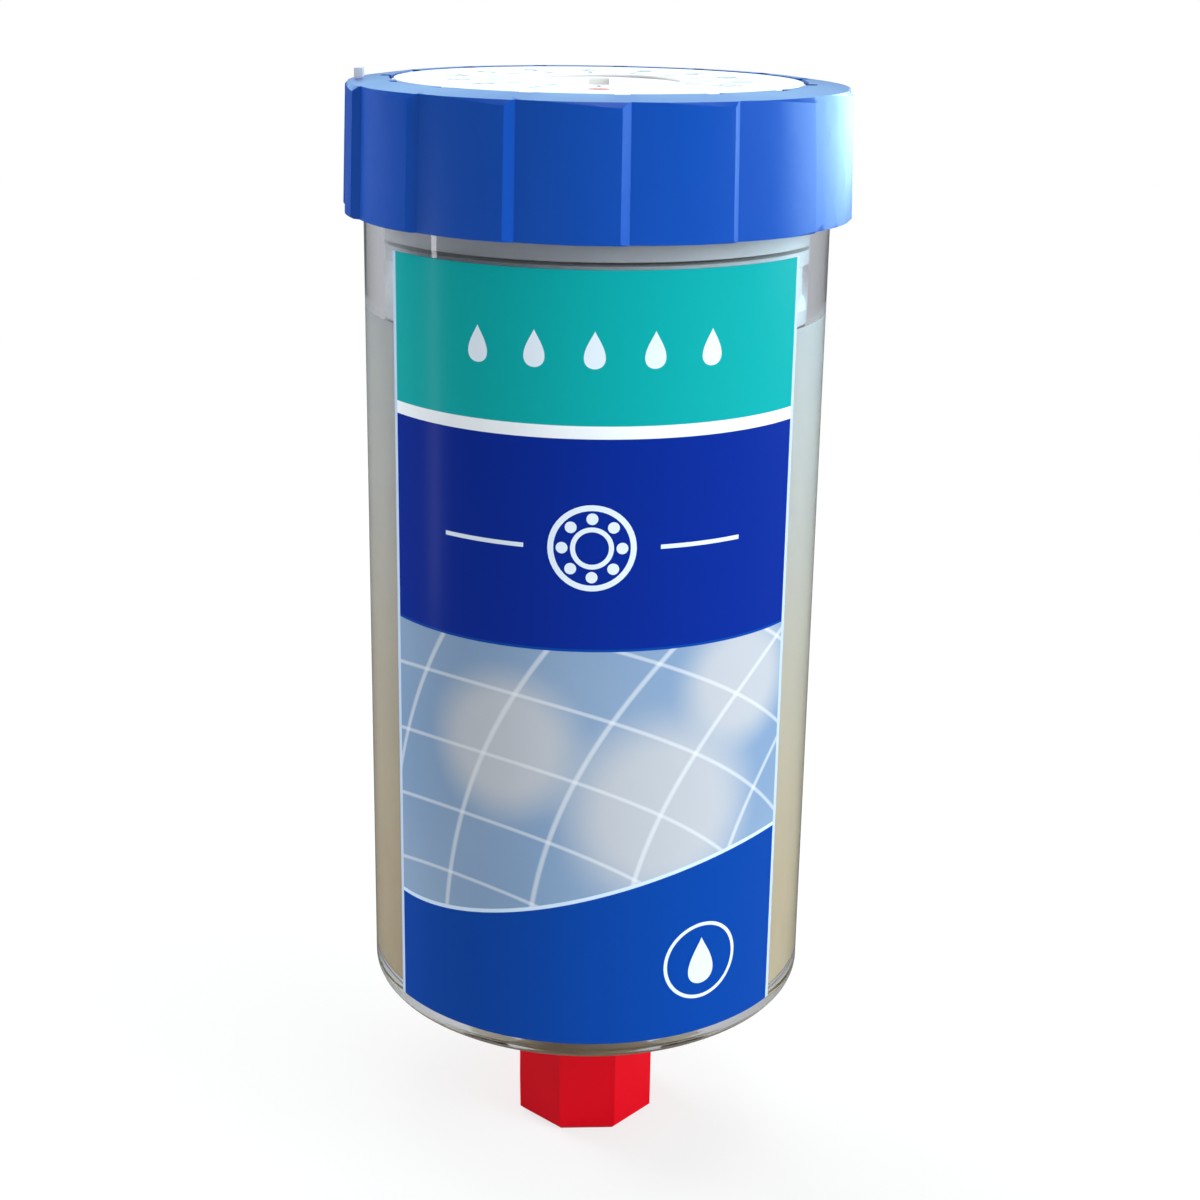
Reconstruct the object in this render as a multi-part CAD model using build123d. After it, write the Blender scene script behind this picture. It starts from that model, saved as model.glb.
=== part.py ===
from build123d import *
import os
from math import cos, radians, sin, tan

# Automatic lubricator: a clear barrel of grease with a gas-driven piston, a drive unit in its mouth,
# a saw-tooth grip ring, and a screw cap on the outlet. Millimetres. The origin is the centre of the
# threaded outlet's tip, +Z runs up the axis to the head, and the label faces -Y.

# Clear barrel
BODY_R = 25.0               # the 50 mm that a lubricator bracket holds
WALL = 2.0
BODY_LENGTH = 88.5          # from the barrel's lower edge up to the grip ring
NECK_HEIGHT = 7.0           # part of the barrel inside the grip ring
NECK_STEP = 0.3             # shoulder that the grip ring sits on
FLOOR_SLOPE = 11.8          # degrees, of the floor cone and the piston's crown
FOOT_WIDTH = 2.5            # flat rim round the barrel's underside
EDGE_FILLET = 1.2
CORNER_FILLET = 0.8
SNAP_BEAD = 0.6             # bead on the neck that holds the grip ring
SNAP_BEAD_HEIGHT = 1.8
SNAP_BEAD_LIFT = 2.4        # from the ring's lower edge to the bead

# Outlet with a 1/4 inch taper pipe thread, drawn as its major cone
THREAD_GAUGE_R = 6.5785
THREAD_GAUGE_LENGTH = 6.0
THREAD_TAPER = 1 / 16       # on the diameter
OUTLET_LENGTH = 12.4
OUTLET_BORE_R = 3.2
OUTLET_TIP_CHAMFER = 0.5
FUNNEL_R = 5.0
FUNNEL_DEPTH = 2.2
BOSS_R = 8.2
BOSS_HEIGHT = 2.6

# Printed film on the front
LABEL_ANGLE = 110.0
LABEL_THICKNESS = 0.1
LABEL_LOW_MARGIN = 2.1
LABEL_TOP_MARGIN = 2.6
FILM_GAP = 0.02

# Piston
PISTON_HEIGHT = 8.5
PISTON_CLEARANCE = 0.08     # at the sealing lips
PISTON_LIP = 1.5
PISTON_RELIEF = 0.6
PISTON_SKIRT = 1.4
PISTON_CROWN = 1.5
PISTON_RIBS = 6
PISTON_RIB_THICKNESS = 1.1
PISTON_RIB_DROP = 1.8       # from the skirt's edge down to the ribs
PISTON_POST_R = 3.6
PISTON_END_GAP = 0.3        # above the floor at the end of the stroke

# Grease
GREASE_WALL_GAP = 0.03
GREASE_PISTON_GAP = 0.3
GREASE_TIP_DEPTH = 0.6

# Drive housing, a cup in the barrel's mouth
HOUSING_DROP = 2.1          # below the ring's lower edge
HOUSING_PISTON_GAP = 0.4
HOUSING_FLOOR = 1.5
HOUSING_WALL = 2.0
HOUSING_CLEARANCE = 0.1
HOUSING_FLANGE = 1.5
HOUSING_RIM_WALL = 1.6
HOUSING_RIM_GAP = 0.4       # between the housing's rim and the grip ring
SEAL_SECTION = 1.5
SEAL_LIFT = 3.4             # from the housing's underside to the seal's middle
GROOVE_PLAY = 0.2
SEAL_NIP = 0.02

# Cells and their tray
CELL_LAYOUT = (180.0, -60.0, 60.0)   # azimuths of the gas cell and the two batteries
GAS_CELL_R = 7.8
GAS_CELL_HEIGHT = 5.6
GAS_PORT_R = 1.0
GASKET_R = 3.6
GASKET_THICKNESS = 0.6
FILTER_R = 2.6
FILTER_THICKNESS = 0.6
BATTERY_R = 5.8
BATTERY_HEIGHT = 5.4
LINK_THICKNESS = 0.3
LINK_WIDTH = 5.0
TRAY_HEIGHT = 3.2
TRAY_WALL = 1.2
TRAY_CLEARANCE = 0.15       # round each cell
TRAY_HUB_R = 2.4
TRAY_EDGE_GAP = 0.25        # to the housing's inner wall
CELL_STEP = 0.5             # of a cell's rolled edge and cap
CELL_TOP_GAP = 0.4          # under the circuit board
LEAF_THICKNESS = 0.2
LEAF_WIDTH = 2.4
LEAF_LENGTH = 6.0

# Circuit board and month resistors
BOARD_THICKNESS = 1.0
BOARD_CLEARANCE = 0.3
MONTHS = 12
DIAL_TURN = 300.0           # degrees, from off to the longest setting
RESISTOR_SIZE = (0.8, 1.6, 0.45)
RESISTOR_GAP = 1.2          # from the wiper's tip

# Posts and screws
POSTS = 3
FIRST_POST = 5.0            # azimuth, so that the posts miss the resistors
POST_R = 2.0
POST_SHOULDER_R = 2.8
POST_INSET = 2.4            # from the housing's inner wall to the post's axis
POST_HOLE_GAP = 0.2
SCREW_R = 0.95
SCREW_HEAD_R = 2.0
SCREW_HEAD_HEIGHT = 0.9
SCREW_LENGTH = 7.0
SCREW_GAP = 0.05
SCREW_SLOT = 0.5

# Top cover and time dial
COVER_THICKNESS = 1.75
COVER_EDGE = 1.4            # from the screw heads out to the cover's edge
COVER_GAP = 0.2             # to the grip ring's opening
COVER_LIP = 0.45
COVER_LIP_WIDTH = 0.9
SCALE_THICKNESS = 0.25
SCALE_GAP = 0.5             # to the grip ring's opening
DIAL_R = 8.5
DIAL_THICKNESS = 2.5
DIAL_SIDE_GAP = 0.2
DIAL_PLAY = 0.1
DIAL_RECESS = 0.05
DIAL_SLOT_WIDTH = 2.2
DIAL_SLOT_LENGTH = 12.6
DIAL_SLOT_DEPTH = 1.5
DIAL_MARK_WIDTH = 1.2
DIAL_MARK_DEPTH = 0.3
DIAL_SEAL_SECTION = 1.2
SHAFT_R = 3.0
SHAFT_CLEARANCE = 0.05
SHAFT_FLAT = 0.9            # cut off the shaft's side where it drives the wiper
SHAFT_END = 0.3
POCKET_FLOOR = 1.4
POCKET_WALL = 1.4
CLIP_THICKNESS = 0.6
CLIP_R = 4.6
CLIP_GROOVE = 0.75
CLIP_PLAY = 0.05
CLIP_MOUTH = 2.6
CLIP_WIPER_GAP = 0.2
WIPER_THICKNESS = 0.8
WIPER_R = 6.5
WIPER_LIFT = 0.7            # above the circuit board
WIPER_REACH = 11.4
WIPER_ARM_WIDTH = 1.6
WIPER_TIP_GAP = 0.05

# Saw-tooth grip ring
RING_GAP = 0.2
RING_WALL = 1.8
RING_TOP_WALL = 1.5
RING_DRAFT = 0.45           # how much narrower the ring is at its top
RING_LIP_WIDTH = 1.0
RING_LIP_RISE = 0.05        # above the scale disc
RING_SHOULDER_FALL = 0.45
RING_EDGE = 0.5
TEETH = 15
TOOTH_DEPTH = 0.7
STEP_ANGLE = 2.0
FIRST_STEP = 6.75           # azimuth of the first step's foot, from the front towards +X
NOTCH_WIDTH = 1.6
NOTCH_DEPTH = 0.9
NUB_AZIMUTH = -90.0
NUB_SIZE = (1.6, 0.9, 1.2)
NUB_INSET = 0.9

# Outlet cap
CAP_SIDES = 8
CAP_ACROSS_FLATS = 15.7
CAP_TURN = 2.9              # azimuth of the face at the front
CAP_END = 1.4
CAP_MOUTH_GAP = 0.2
CAP_CLEARANCE = 0.1
CAP_EDGE = 0.5
CAP_MOUTH_STEP = 1.3        # plain mouth above the cap's thread
CAP_SEAL_THICKNESS = 0.6
CAP_SEAL_GAP = 0.2

# Heights that follow
SLOPE = tan(radians(FLOOR_SLOPE))
FOOT_R = BODY_R - FOOT_WIDTH
NECK_R = BODY_R - NECK_STEP
BORE_R = BODY_R - WALL
FLOOR_Z = OUTLET_LENGTH + BOSS_HEIGHT + (FOOT_R - BOSS_R) * SLOPE
INNER_FLOOR_Z = FLOOR_Z + WALL
FUNNEL_Z = INNER_FLOOR_Z - (BORE_R - FUNNEL_R) * SLOPE
RING_Z = FLOOR_Z + BODY_LENGTH
NECK_Z = RING_Z + NECK_HEIGHT
HOUSING_Z = RING_Z - HOUSING_DROP
PISTON_TOP_Z = HOUSING_Z - HOUSING_PISTON_GAP
PISTON_Z = PISTON_TOP_Z - PISTON_HEIGHT
CELL_FLOOR_Z = HOUSING_Z + HOUSING_FLOOR
BATTERY_Z = CELL_FLOOR_Z + LINK_THICKNESS
BATTERY_TOP_Z = BATTERY_Z + BATTERY_HEIGHT
GAS_CELL_Z = CELL_FLOOR_Z + GASKET_THICKNESS
GAS_CELL_TOP_Z = GAS_CELL_Z + GAS_CELL_HEIGHT
BOARD_Z = max(BATTERY_TOP_Z, GAS_CELL_TOP_Z) + CELL_TOP_GAP
BOARD_TOP_Z = BOARD_Z + BOARD_THICKNESS
WIPER_Z = BOARD_TOP_Z + WIPER_LIFT
CLIP_Z = WIPER_Z + WIPER_THICKNESS + CLIP_WIPER_GAP
POCKET_UNDER_Z = CLIP_Z + CLIP_THICKNESS + DIAL_PLAY
POCKET_Z = POCKET_UNDER_Z + POCKET_FLOOR
DIAL_Z = POCKET_Z + DIAL_PLAY
DIAL_TOP_Z = DIAL_Z + DIAL_THICKNESS
COVER_TOP_Z = DIAL_TOP_Z + DIAL_RECESS
COVER_Z = COVER_TOP_Z - COVER_THICKNESS
RING_TOP_Z = COVER_TOP_Z + SCALE_THICKNESS + RING_LIP_RISE
RING_UNDER_Z = RING_TOP_Z - RING_TOP_WALL

# Radii that follow
PISTON_R = BORE_R - PISTON_CLEARANCE
HOUSING_R = BORE_R - HOUSING_CLEARANCE
HOUSING_BORE_R = HOUSING_R - HOUSING_WALL
HOUSING_RIM_R = NECK_R + RING_GAP - HOUSING_RIM_GAP
BOARD_R = HOUSING_BORE_R - BOARD_CLEARANCE
POST_PITCH_R = HOUSING_BORE_R - POST_INSET
RING_BORE_R = NECK_R + RING_GAP
COVER_R = POST_PITCH_R + SCREW_HEAD_R + COVER_EDGE
RING_OPENING_R = COVER_R + COVER_GAP
SCALE_R = RING_OPENING_R - SCALE_GAP
POCKET_R = DIAL_R + DIAL_SIDE_GAP
RESISTOR_PITCH_R = WIPER_REACH + RESISTOR_GAP + RESISTOR_SIZE[1] / 2
CAP_CORNER_R = CAP_ACROSS_FLATS / 2 / cos(radians(180 / CAP_SIDES))


def at(radius, azimuth, z=0.0):
    """Point at an azimuth in degrees, measured from the front towards +X."""
    turn = radians(azimuth)
    return Vector(radius * sin(turn), -radius * cos(turn), z)


def turned(*corners):
    """Solid turned about Z from the (radius, height) corners of its half section."""
    outline = Wire.make_polygon([Vector(radius, 0, z) for radius, z in corners], close=True)
    return revolve(Face(outline), Axis.Z)


def disc(radius, z, height, centre=(0.0, 0.0)):
    """Upright cylinder that starts at height z."""
    upright = Cylinder(radius, height, align=(Align.CENTER, Align.CENTER, Align.MIN))
    return Pos(centre[0], centre[1], z) * upright


def slab(length, width, z, height, centre=(0.0, 0.0)):
    """Box that starts at height z, long in X."""
    block = Box(length, width, height, align=(Align.CENTER, Align.CENTER, Align.MIN))
    return Pos(centre[0], centre[1], z) * block


def rims(solid, radius, z):
    """Circular edges of a turned piece at one radius and height."""
    circles = solid.edges().filter_by(GeomType.CIRCLE)
    return circles.filter_by(
        lambda edge: abs(edge.radius - radius) < 1e-4 and abs(edge.arc_center.Z - z) < 1e-4
    )


def thread_r(z):
    """Major radius of the outlet's taper thread at a height."""
    return THREAD_GAUGE_R + (z - THREAD_GAUGE_LENGTH) * THREAD_TAPER / 2


def post_places():
    """Axes of the posts that carry the circuit board and the cover."""
    return [at(POST_PITCH_R, FIRST_POST + turn * 360 / POSTS) for turn in range(POSTS)]


def cell_places():
    """Radius and centre of the gas cell and the left and right battery."""
    places = []
    for radius, azimuth in zip((GAS_CELL_R, BATTERY_R, BATTERY_R), CELL_LAYOUT):
        reach = HOUSING_BORE_R - TRAY_EDGE_GAP - TRAY_WALL - TRAY_CLEARANCE - radius
        place = at(reach, azimuth)
        places.append((radius, (place.X, place.Y)))
    return places


def container():
    """Clear barrel with its floor cone, outlet and snap neck, moulded as one piece."""
    bead_z = RING_Z + SNAP_BEAD_LIFT
    bead_r = NECK_R + SNAP_BEAD
    shell = turned(
        (OUTLET_BORE_R, 0),
        (thread_r(0) - OUTLET_TIP_CHAMFER, 0),
        (thread_r(OUTLET_TIP_CHAMFER), OUTLET_TIP_CHAMFER),
        (thread_r(OUTLET_LENGTH), OUTLET_LENGTH),
        (BOSS_R, OUTLET_LENGTH),
        (BOSS_R, OUTLET_LENGTH + BOSS_HEIGHT),
        (FOOT_R, FLOOR_Z),
        (BODY_R, FLOOR_Z),
        (BODY_R, RING_Z),
        (NECK_R, RING_Z),
        (NECK_R, bead_z),
        (bead_r, bead_z + SNAP_BEAD),
        (bead_r, bead_z + SNAP_BEAD_HEIGHT - SNAP_BEAD),
        (NECK_R, bead_z + SNAP_BEAD_HEIGHT),
        (NECK_R, NECK_Z),
        (BORE_R, NECK_Z),
        (BORE_R, INNER_FLOOR_Z),
        (FUNNEL_R, FUNNEL_Z),
        (OUTLET_BORE_R, FUNNEL_Z - FUNNEL_DEPTH),
    )
    shell = fillet(rims(shell, BODY_R, FLOOR_Z), EDGE_FILLET)
    return fillet(rims(shell, BORE_R, INNER_FLOOR_Z), CORNER_FILLET)


def front_label():
    """Printed film stuck round the front of the barrel."""
    low = FLOOR_Z + LABEL_LOW_MARGIN
    high = RING_Z - LABEL_TOP_MARGIN
    inner = BODY_R + FILM_GAP
    outer = inner + LABEL_THICKNESS
    corners = [(inner, low), (outer, low), (outer, high), (inner, high)]
    section = Face(Wire.make_polygon([at(radius, -LABEL_ANGLE / 2, z) for radius, z in corners], close=True))
    return revolve(section, Axis.Z, LABEL_ANGLE)


def piston():
    """Cup-shaped piston with two sealing lips and a crown that matches the barrel's floor."""
    nose_z = PISTON_Z - (PISTON_R - FUNNEL_R) * SLOPE
    relief_r = PISTON_R - PISTON_RELIEF
    skirt_r = PISTON_R - PISTON_SKIRT
    edge = CORNER_FILLET
    cup = turned(
        (0, nose_z),
        (FUNNEL_R, nose_z),
        (PISTON_R - edge, PISTON_Z - edge * SLOPE),
        (PISTON_R, PISTON_Z + edge),
        (PISTON_R, PISTON_Z + edge + PISTON_LIP),
        (relief_r, PISTON_Z + edge + PISTON_LIP + PISTON_RELIEF),
        (relief_r, PISTON_TOP_Z - PISTON_LIP - PISTON_RELIEF),
        (PISTON_R, PISTON_TOP_Z - PISTON_LIP),
        (PISTON_R, PISTON_TOP_Z),
        (skirt_r, PISTON_TOP_Z),
        (skirt_r, PISTON_Z + PISTON_CROWN),
        (FUNNEL_R, nose_z + PISTON_CROWN),
        (0, nose_z + PISTON_CROWN),
    )
    rib_height = PISTON_TOP_Z - PISTON_RIB_DROP - nose_z
    rib = slab(skirt_r, PISTON_RIB_THICKNESS, nose_z, rib_height, (skirt_r / 2, 0))
    star = disc(PISTON_POST_R, nose_z, rib_height)
    for index in range(PISTON_RIBS):
        star += Rot(0, 0, index * 360 / PISTON_RIBS) * rib
    under = turned(
        (0, nose_z),
        (FUNNEL_R, nose_z),
        (PISTON_R, PISTON_Z),
        (PISTON_R, PISTON_TOP_Z),
        (0, PISTON_TOP_Z),
    )
    return cup + (star & under)


def grease_charge():
    """Grease that fills the barrel from the piston's crown down into the outlet."""
    bore = OUTLET_BORE_R - GREASE_WALL_GAP
    side = BORE_R - GREASE_WALL_GAP
    floor = INNER_FLOOR_Z + GREASE_WALL_GAP
    crown_drop = (side - FUNNEL_R) * SLOPE
    crown_z = PISTON_Z - GREASE_PISTON_GAP
    return turned(
        (0, GREASE_TIP_DEPTH),
        (bore, GREASE_TIP_DEPTH),
        (bore, FUNNEL_Z - FUNNEL_DEPTH),
        (FUNNEL_R - GREASE_WALL_GAP, FUNNEL_Z + GREASE_WALL_GAP),
        (side - CORNER_FILLET, floor - CORNER_FILLET * SLOPE),
        (side, floor + CORNER_FILLET),
        (side, crown_z),
        (FUNNEL_R, crown_z - crown_drop),
        (0, crown_z - crown_drop),
    )


def grip_outline(root, z):
    """Closed outline of the grip: facets that rise towards +X at the front, then a short step back."""
    pitch = 360 / TEETH
    crest = root + TOOTH_DEPTH
    sides = []
    for index in range(TEETH):
        foot = FIRST_STEP + index * pitch
        top = foot + pitch - STEP_ANGLE
        middle = at((root + crest) / 2, (foot + top) / 2, z)
        sides.append(Edge.make_three_point_arc(at(root, foot, z), middle, at(crest, top, z)))
        sides.append(Edge.make_line(at(crest, top, z), at(root, foot + pitch, z)))
    return Face(Wire(sides))


def grip_ring():
    """Moulded ring that snaps over the neck, with one-way grip steps and a notched inner lip."""
    root = RING_BORE_R + RING_WALL
    toothed = loft([grip_outline(root, RING_Z), grip_outline(root - RING_DRAFT, RING_TOP_Z)], ruled=True)
    widest = root + TOOTH_DEPTH
    shoulder_z = RING_TOP_Z - RING_SHOULDER_FALL
    lip_r = RING_OPENING_R + RING_LIP_WIDTH
    envelope = turned(
        (0, RING_Z),
        (widest - RING_EDGE / 2, RING_Z),
        (widest, RING_Z + RING_EDGE / 2),
        (widest - RING_DRAFT, shoulder_z - RING_EDGE),
        (widest - RING_DRAFT - RING_EDGE, shoulder_z),
        (lip_r, RING_TOP_Z),
        (0, RING_TOP_Z),
    )
    bead_z = RING_Z + SNAP_BEAD_LIFT
    groove_r = RING_BORE_R + SNAP_BEAD
    hollow = turned(
        (0, RING_Z - RING_EDGE),
        (RING_BORE_R, RING_Z - RING_EDGE),
        (RING_BORE_R, bead_z - RING_GAP),
        (groove_r, bead_z - RING_GAP + SNAP_BEAD),
        (groove_r, bead_z + SNAP_BEAD_HEIGHT - SNAP_BEAD + RING_GAP),
        (RING_BORE_R, bead_z + SNAP_BEAD_HEIGHT + RING_GAP),
        (RING_BORE_R, RING_UNDER_Z),
        (RING_OPENING_R, RING_UNDER_Z),
        (RING_OPENING_R, RING_TOP_Z + RING_EDGE),
        (0, RING_TOP_Z + RING_EDGE),
    )
    ring = (toothed & envelope) - hollow
    notch = slab(RING_LIP_WIDTH * 2, NOTCH_WIDTH, RING_TOP_Z - NOTCH_DEPTH, NOTCH_DEPTH + RING_EDGE)
    for index in range(TEETH):
        azimuth = FIRST_STEP - STEP_ANGLE / 2 + index * 360 / TEETH
        ring -= Pos(at(RING_OPENING_R, azimuth)) * Rot(0, 0, azimuth - 90) * notch
    nub_r = root - RING_DRAFT - NUB_INSET
    nub_length, nub_width, nub_height = NUB_SIZE
    nub = slab(nub_width, nub_length, shoulder_z - nub_height, nub_height * 2)
    return ring + Pos(at(nub_r, NUB_AZIMUTH)) * Rot(0, 0, NUB_AZIMUTH - 90) * nub


def seal_groove(z):
    """Ring cut round the housing for its seal, centred on height z."""
    width = SEAL_SECTION + GROOVE_PLAY
    outer = disc(BORE_R + SEAL_SECTION, z - width / 2, width)
    return outer - disc(BORE_R - 2 * SEAL_NIP - SEAL_SECTION, z - width / 2, width)


def drive_housing():
    """Cup that closes the barrel's mouth, with a seal groove, a gas port and three posts."""
    rim_inner = HOUSING_RIM_R - HOUSING_RIM_WALL
    cup = turned(
        (0, HOUSING_Z),
        (HOUSING_R, HOUSING_Z),
        (HOUSING_R, NECK_Z),
        (HOUSING_RIM_R, NECK_Z),
        (HOUSING_RIM_R, RING_UNDER_Z),
        (rim_inner, RING_UNDER_Z),
        (rim_inner, NECK_Z + HOUSING_FLANGE),
        (HOUSING_BORE_R, NECK_Z + HOUSING_FLANGE),
        (HOUSING_BORE_R, CELL_FLOOR_Z),
        (0, CELL_FLOOR_Z),
    )
    for place in post_places():
        centre = (place.X, place.Y)
        cup += disc(POST_SHOULDER_R, CELL_FLOOR_Z, BOARD_Z - CELL_FLOOR_Z, centre)
        cup += disc(POST_R, CELL_FLOOR_Z, COVER_Z - CELL_FLOOR_Z, centre)
        cup -= disc(SCREW_R + SCREW_GAP, COVER_Z - SCREW_LENGTH, SCREW_LENGTH, centre)
    cup -= seal_groove(HOUSING_Z + SEAL_LIFT)
    port = cell_places()[0][1]
    cup -= disc(GAS_PORT_R, HOUSING_Z, HOUSING_FLOOR, port)
    return cup - disc(FILTER_R, HOUSING_Z, FILTER_THICKNESS, port)


def housing_o_ring():
    """Rubber seal between the housing and the barrel's bore."""
    section = SEAL_SECTION / 2
    return Pos(0, 0, HOUSING_Z + SEAL_LIFT) * Torus(BORE_R - SEAL_NIP - section, section)


def port_filter():
    """Sintered disc under the gas port."""
    return disc(FILTER_R, HOUSING_Z, FILTER_THICKNESS, cell_places()[0][1])


def gas_cell_gasket():
    """Flat gasket between the gas cell and the port."""
    centre = cell_places()[0][1]
    ring = disc(GASKET_R, CELL_FLOOR_Z, GASKET_THICKNESS, centre)
    return ring - disc(GAS_PORT_R, CELL_FLOOR_Z, GASKET_THICKNESS, centre)


def coin_cell(radius, height, centre, z):
    """Coin cell with a smaller, stepped cap at its top."""
    can = disc(radius, z, height - CELL_STEP, centre)
    cap = disc(radius - 2 * CELL_STEP, z + height - CELL_STEP, CELL_STEP, centre)
    cell = can + cap
    return fillet(cell.edges().filter_by(GeomType.CIRCLE).group_by(Axis.Z)[0], CELL_STEP)


def gas_cell():
    """Electrochemical cell that makes the driving gas, with its gas hole underneath."""
    radius, centre = cell_places()[0]
    cell = coin_cell(radius, GAS_CELL_HEIGHT, centre, GAS_CELL_Z)
    return cell - disc(GAS_PORT_R, GAS_CELL_Z, GASKET_THICKNESS, centre)


def battery(place):
    """Button cell at one place."""
    radius, centre = place
    return coin_cell(radius, BATTERY_HEIGHT, centre, BATTERY_Z)


def battery_strip(width, height):
    """Strip on the housing's floor from one battery's centre to the other's, with round ends."""
    (left_x, left_y), (right_x, right_y) = [centre for _, centre in cell_places()[1:]]
    middle = ((left_x + right_x) / 2, (left_y + right_y) / 2)
    strip = slab(right_x - left_x, width, CELL_FLOOR_Z, height, middle)
    for centre in ((left_x, left_y), (right_x, right_y)):
        strip += disc(width / 2, CELL_FLOOR_Z, height, centre)
    return strip


def cell_tray():
    """Moulded tray: a collar round each cell, joined by webs to a hub and open round the posts."""
    tray = disc(TRAY_HUB_R, CELL_FLOOR_Z, TRAY_HEIGHT)
    for (radius, (x, y)), azimuth in zip(cell_places(), CELL_LAYOUT):
        tray += disc(radius + TRAY_CLEARANCE + TRAY_WALL, CELL_FLOOR_Z, TRAY_HEIGHT, (x, y))
        web = slab(Vector(x, y).length, TRAY_WALL, CELL_FLOOR_Z, TRAY_HEIGHT, (Vector(x, y).length / 2, 0))
        tray += Rot(0, 0, azimuth - 90) * web
    holes = cell_places() + [(POST_SHOULDER_R, (place.X, place.Y)) for place in post_places()]
    for radius, centre in holes:
        tray -= disc(radius + TRAY_CLEARANCE, CELL_FLOOR_Z, TRAY_HEIGHT, centre)
    return tray - battery_strip(LINK_WIDTH + 2 * TRAY_CLEARANCE, LINK_THICKNESS + TRAY_CLEARANCE)


def leaf(cell_top, centre, turn):
    """Leaf spring from the circuit board's underside down to a cell's top."""
    third = LEAF_LENGTH / 3
    upper = [(-1.5 * third, BOARD_Z), (-0.5 * third, BOARD_Z), (0.5 * third, cell_top + LEAF_THICKNESS),
             (1.5 * third, cell_top + LEAF_THICKNESS)]
    lower = [(x, z - LEAF_THICKNESS) for x, z in reversed(upper)]
    side = Face(Wire.make_polygon([Vector(x, -LEAF_WIDTH / 2, z) for x, z in upper + lower], close=True))
    strip = extrude(side, LEAF_WIDTH, (0, 1, 0))
    return Pos(centre[0], centre[1], 0) * Rot(0, 0, turn) * strip


def circuit_board():
    """Round board notched round the posts, on their shoulders."""
    board = disc(BOARD_R, BOARD_Z, BOARD_THICKNESS)
    for place in post_places():
        board -= disc(POST_R + POST_HOLE_GAP, BOARD_Z, BOARD_THICKNESS, (place.X, place.Y))
    return board


def resistors():
    """One chip resistor for each month setting."""
    width, length, height = RESISTOR_SIZE
    chips = []
    for month in range(MONTHS):
        azimuth = -DIAL_TURN * (month + 1) / MONTHS
        chip = Rot(0, 0, azimuth) * slab(width, length, BOARD_TOP_Z, height)
        chips.append(Pos(at(RESISTOR_PITCH_R, azimuth)) * chip)
    return Compound(chips)


def top_cover():
    """Plate that closes the housing, with a pocket for the dial and three screw seats."""
    plate = turned(
        (SHAFT_R + SHAFT_CLEARANCE, POCKET_UNDER_Z),
        (POCKET_R + POCKET_WALL, POCKET_UNDER_Z),
        (POCKET_R + POCKET_WALL, COVER_Z),
        (COVER_R + COVER_LIP_WIDTH, COVER_Z),
        (COVER_R + COVER_LIP_WIDTH, COVER_Z + COVER_LIP),
        (COVER_R, COVER_Z + COVER_LIP),
        (COVER_R, COVER_TOP_Z),
        (POCKET_R, COVER_TOP_Z),
        (POCKET_R, POCKET_Z),
        (SHAFT_R + SHAFT_CLEARANCE, POCKET_Z),
    )
    for place in post_places():
        centre = (place.X, place.Y)
        plate -= disc(SCREW_R + SCREW_GAP, COVER_Z, COVER_THICKNESS, centre)
        seat_z = COVER_TOP_Z - SCREW_HEAD_HEIGHT - SCREW_GAP
        plate -= disc(SCREW_HEAD_R + SCREW_GAP, seat_z, SCREW_HEAD_HEIGHT + SCREW_GAP, centre)
    return plate


def cover_screws():
    """Three slotted screws that hold the cover on the posts."""
    screws = []
    for place in post_places():
        centre = (place.X, place.Y)
        head_z = COVER_TOP_Z - SCREW_HEAD_HEIGHT - SCREW_GAP
        foot_z = COVER_Z - SCREW_LENGTH + SCREW_GAP
        screw = disc(SCREW_HEAD_R, head_z, SCREW_HEAD_HEIGHT, centre)
        screw += disc(SCREW_R, foot_z, head_z - foot_z, centre)
        slot_z = head_z + SCREW_HEAD_HEIGHT / 2
        screws.append(screw - slab(2 * SCREW_HEAD_R, SCREW_SLOT, slot_z, SCREW_HEAD_HEIGHT, centre))
    return Compound(screws)


def scale_disc():
    """Printed disc round the dial."""
    outer = disc(SCALE_R, COVER_TOP_Z, SCALE_THICKNESS)
    return outer - disc(POCKET_R, COVER_TOP_Z, SCALE_THICKNESS)


def time_dial():
    """Slotted dial with a pointer mark, a seal groove, a clip groove and a flat that drives the wiper."""
    foot_z = WIPER_Z - SHAFT_END
    dial = disc(DIAL_R, DIAL_Z, DIAL_THICKNESS) + disc(SHAFT_R, foot_z, DIAL_Z - foot_z)
    middle = DIAL_Z + DIAL_THICKNESS / 2
    groove_width = DIAL_SEAL_SECTION + DIAL_PLAY
    groove_r = POCKET_R - SHAFT_CLEARANCE - DIAL_SEAL_SECTION
    groove = disc(POCKET_R, middle - groove_width / 2, groove_width)
    dial -= groove - disc(groove_r, middle - groove_width / 2, groove_width)
    clip_z = CLIP_Z - CLIP_PLAY
    clip_groove = disc(SHAFT_R + CLIP_PLAY, clip_z, CLIP_THICKNESS + 2 * CLIP_PLAY)
    dial -= clip_groove - disc(SHAFT_R - CLIP_GROOVE, clip_z, CLIP_THICKNESS + 2 * CLIP_PLAY)
    flat_height = WIPER_Z + WIPER_THICKNESS - foot_z
    dial -= slab(2 * SHAFT_R, SHAFT_FLAT, foot_z, flat_height, (0, SHAFT_R - SHAFT_FLAT / 2))
    slot_z = DIAL_TOP_Z - DIAL_SLOT_DEPTH
    dial -= slab(DIAL_SLOT_WIDTH, DIAL_SLOT_LENGTH, slot_z, DIAL_SLOT_DEPTH)
    mark_z = DIAL_TOP_Z - DIAL_MARK_DEPTH
    return dial - slab(DIAL_MARK_WIDTH, DIAL_R, mark_z, DIAL_MARK_DEPTH, (0, -DIAL_R / 2))


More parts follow.
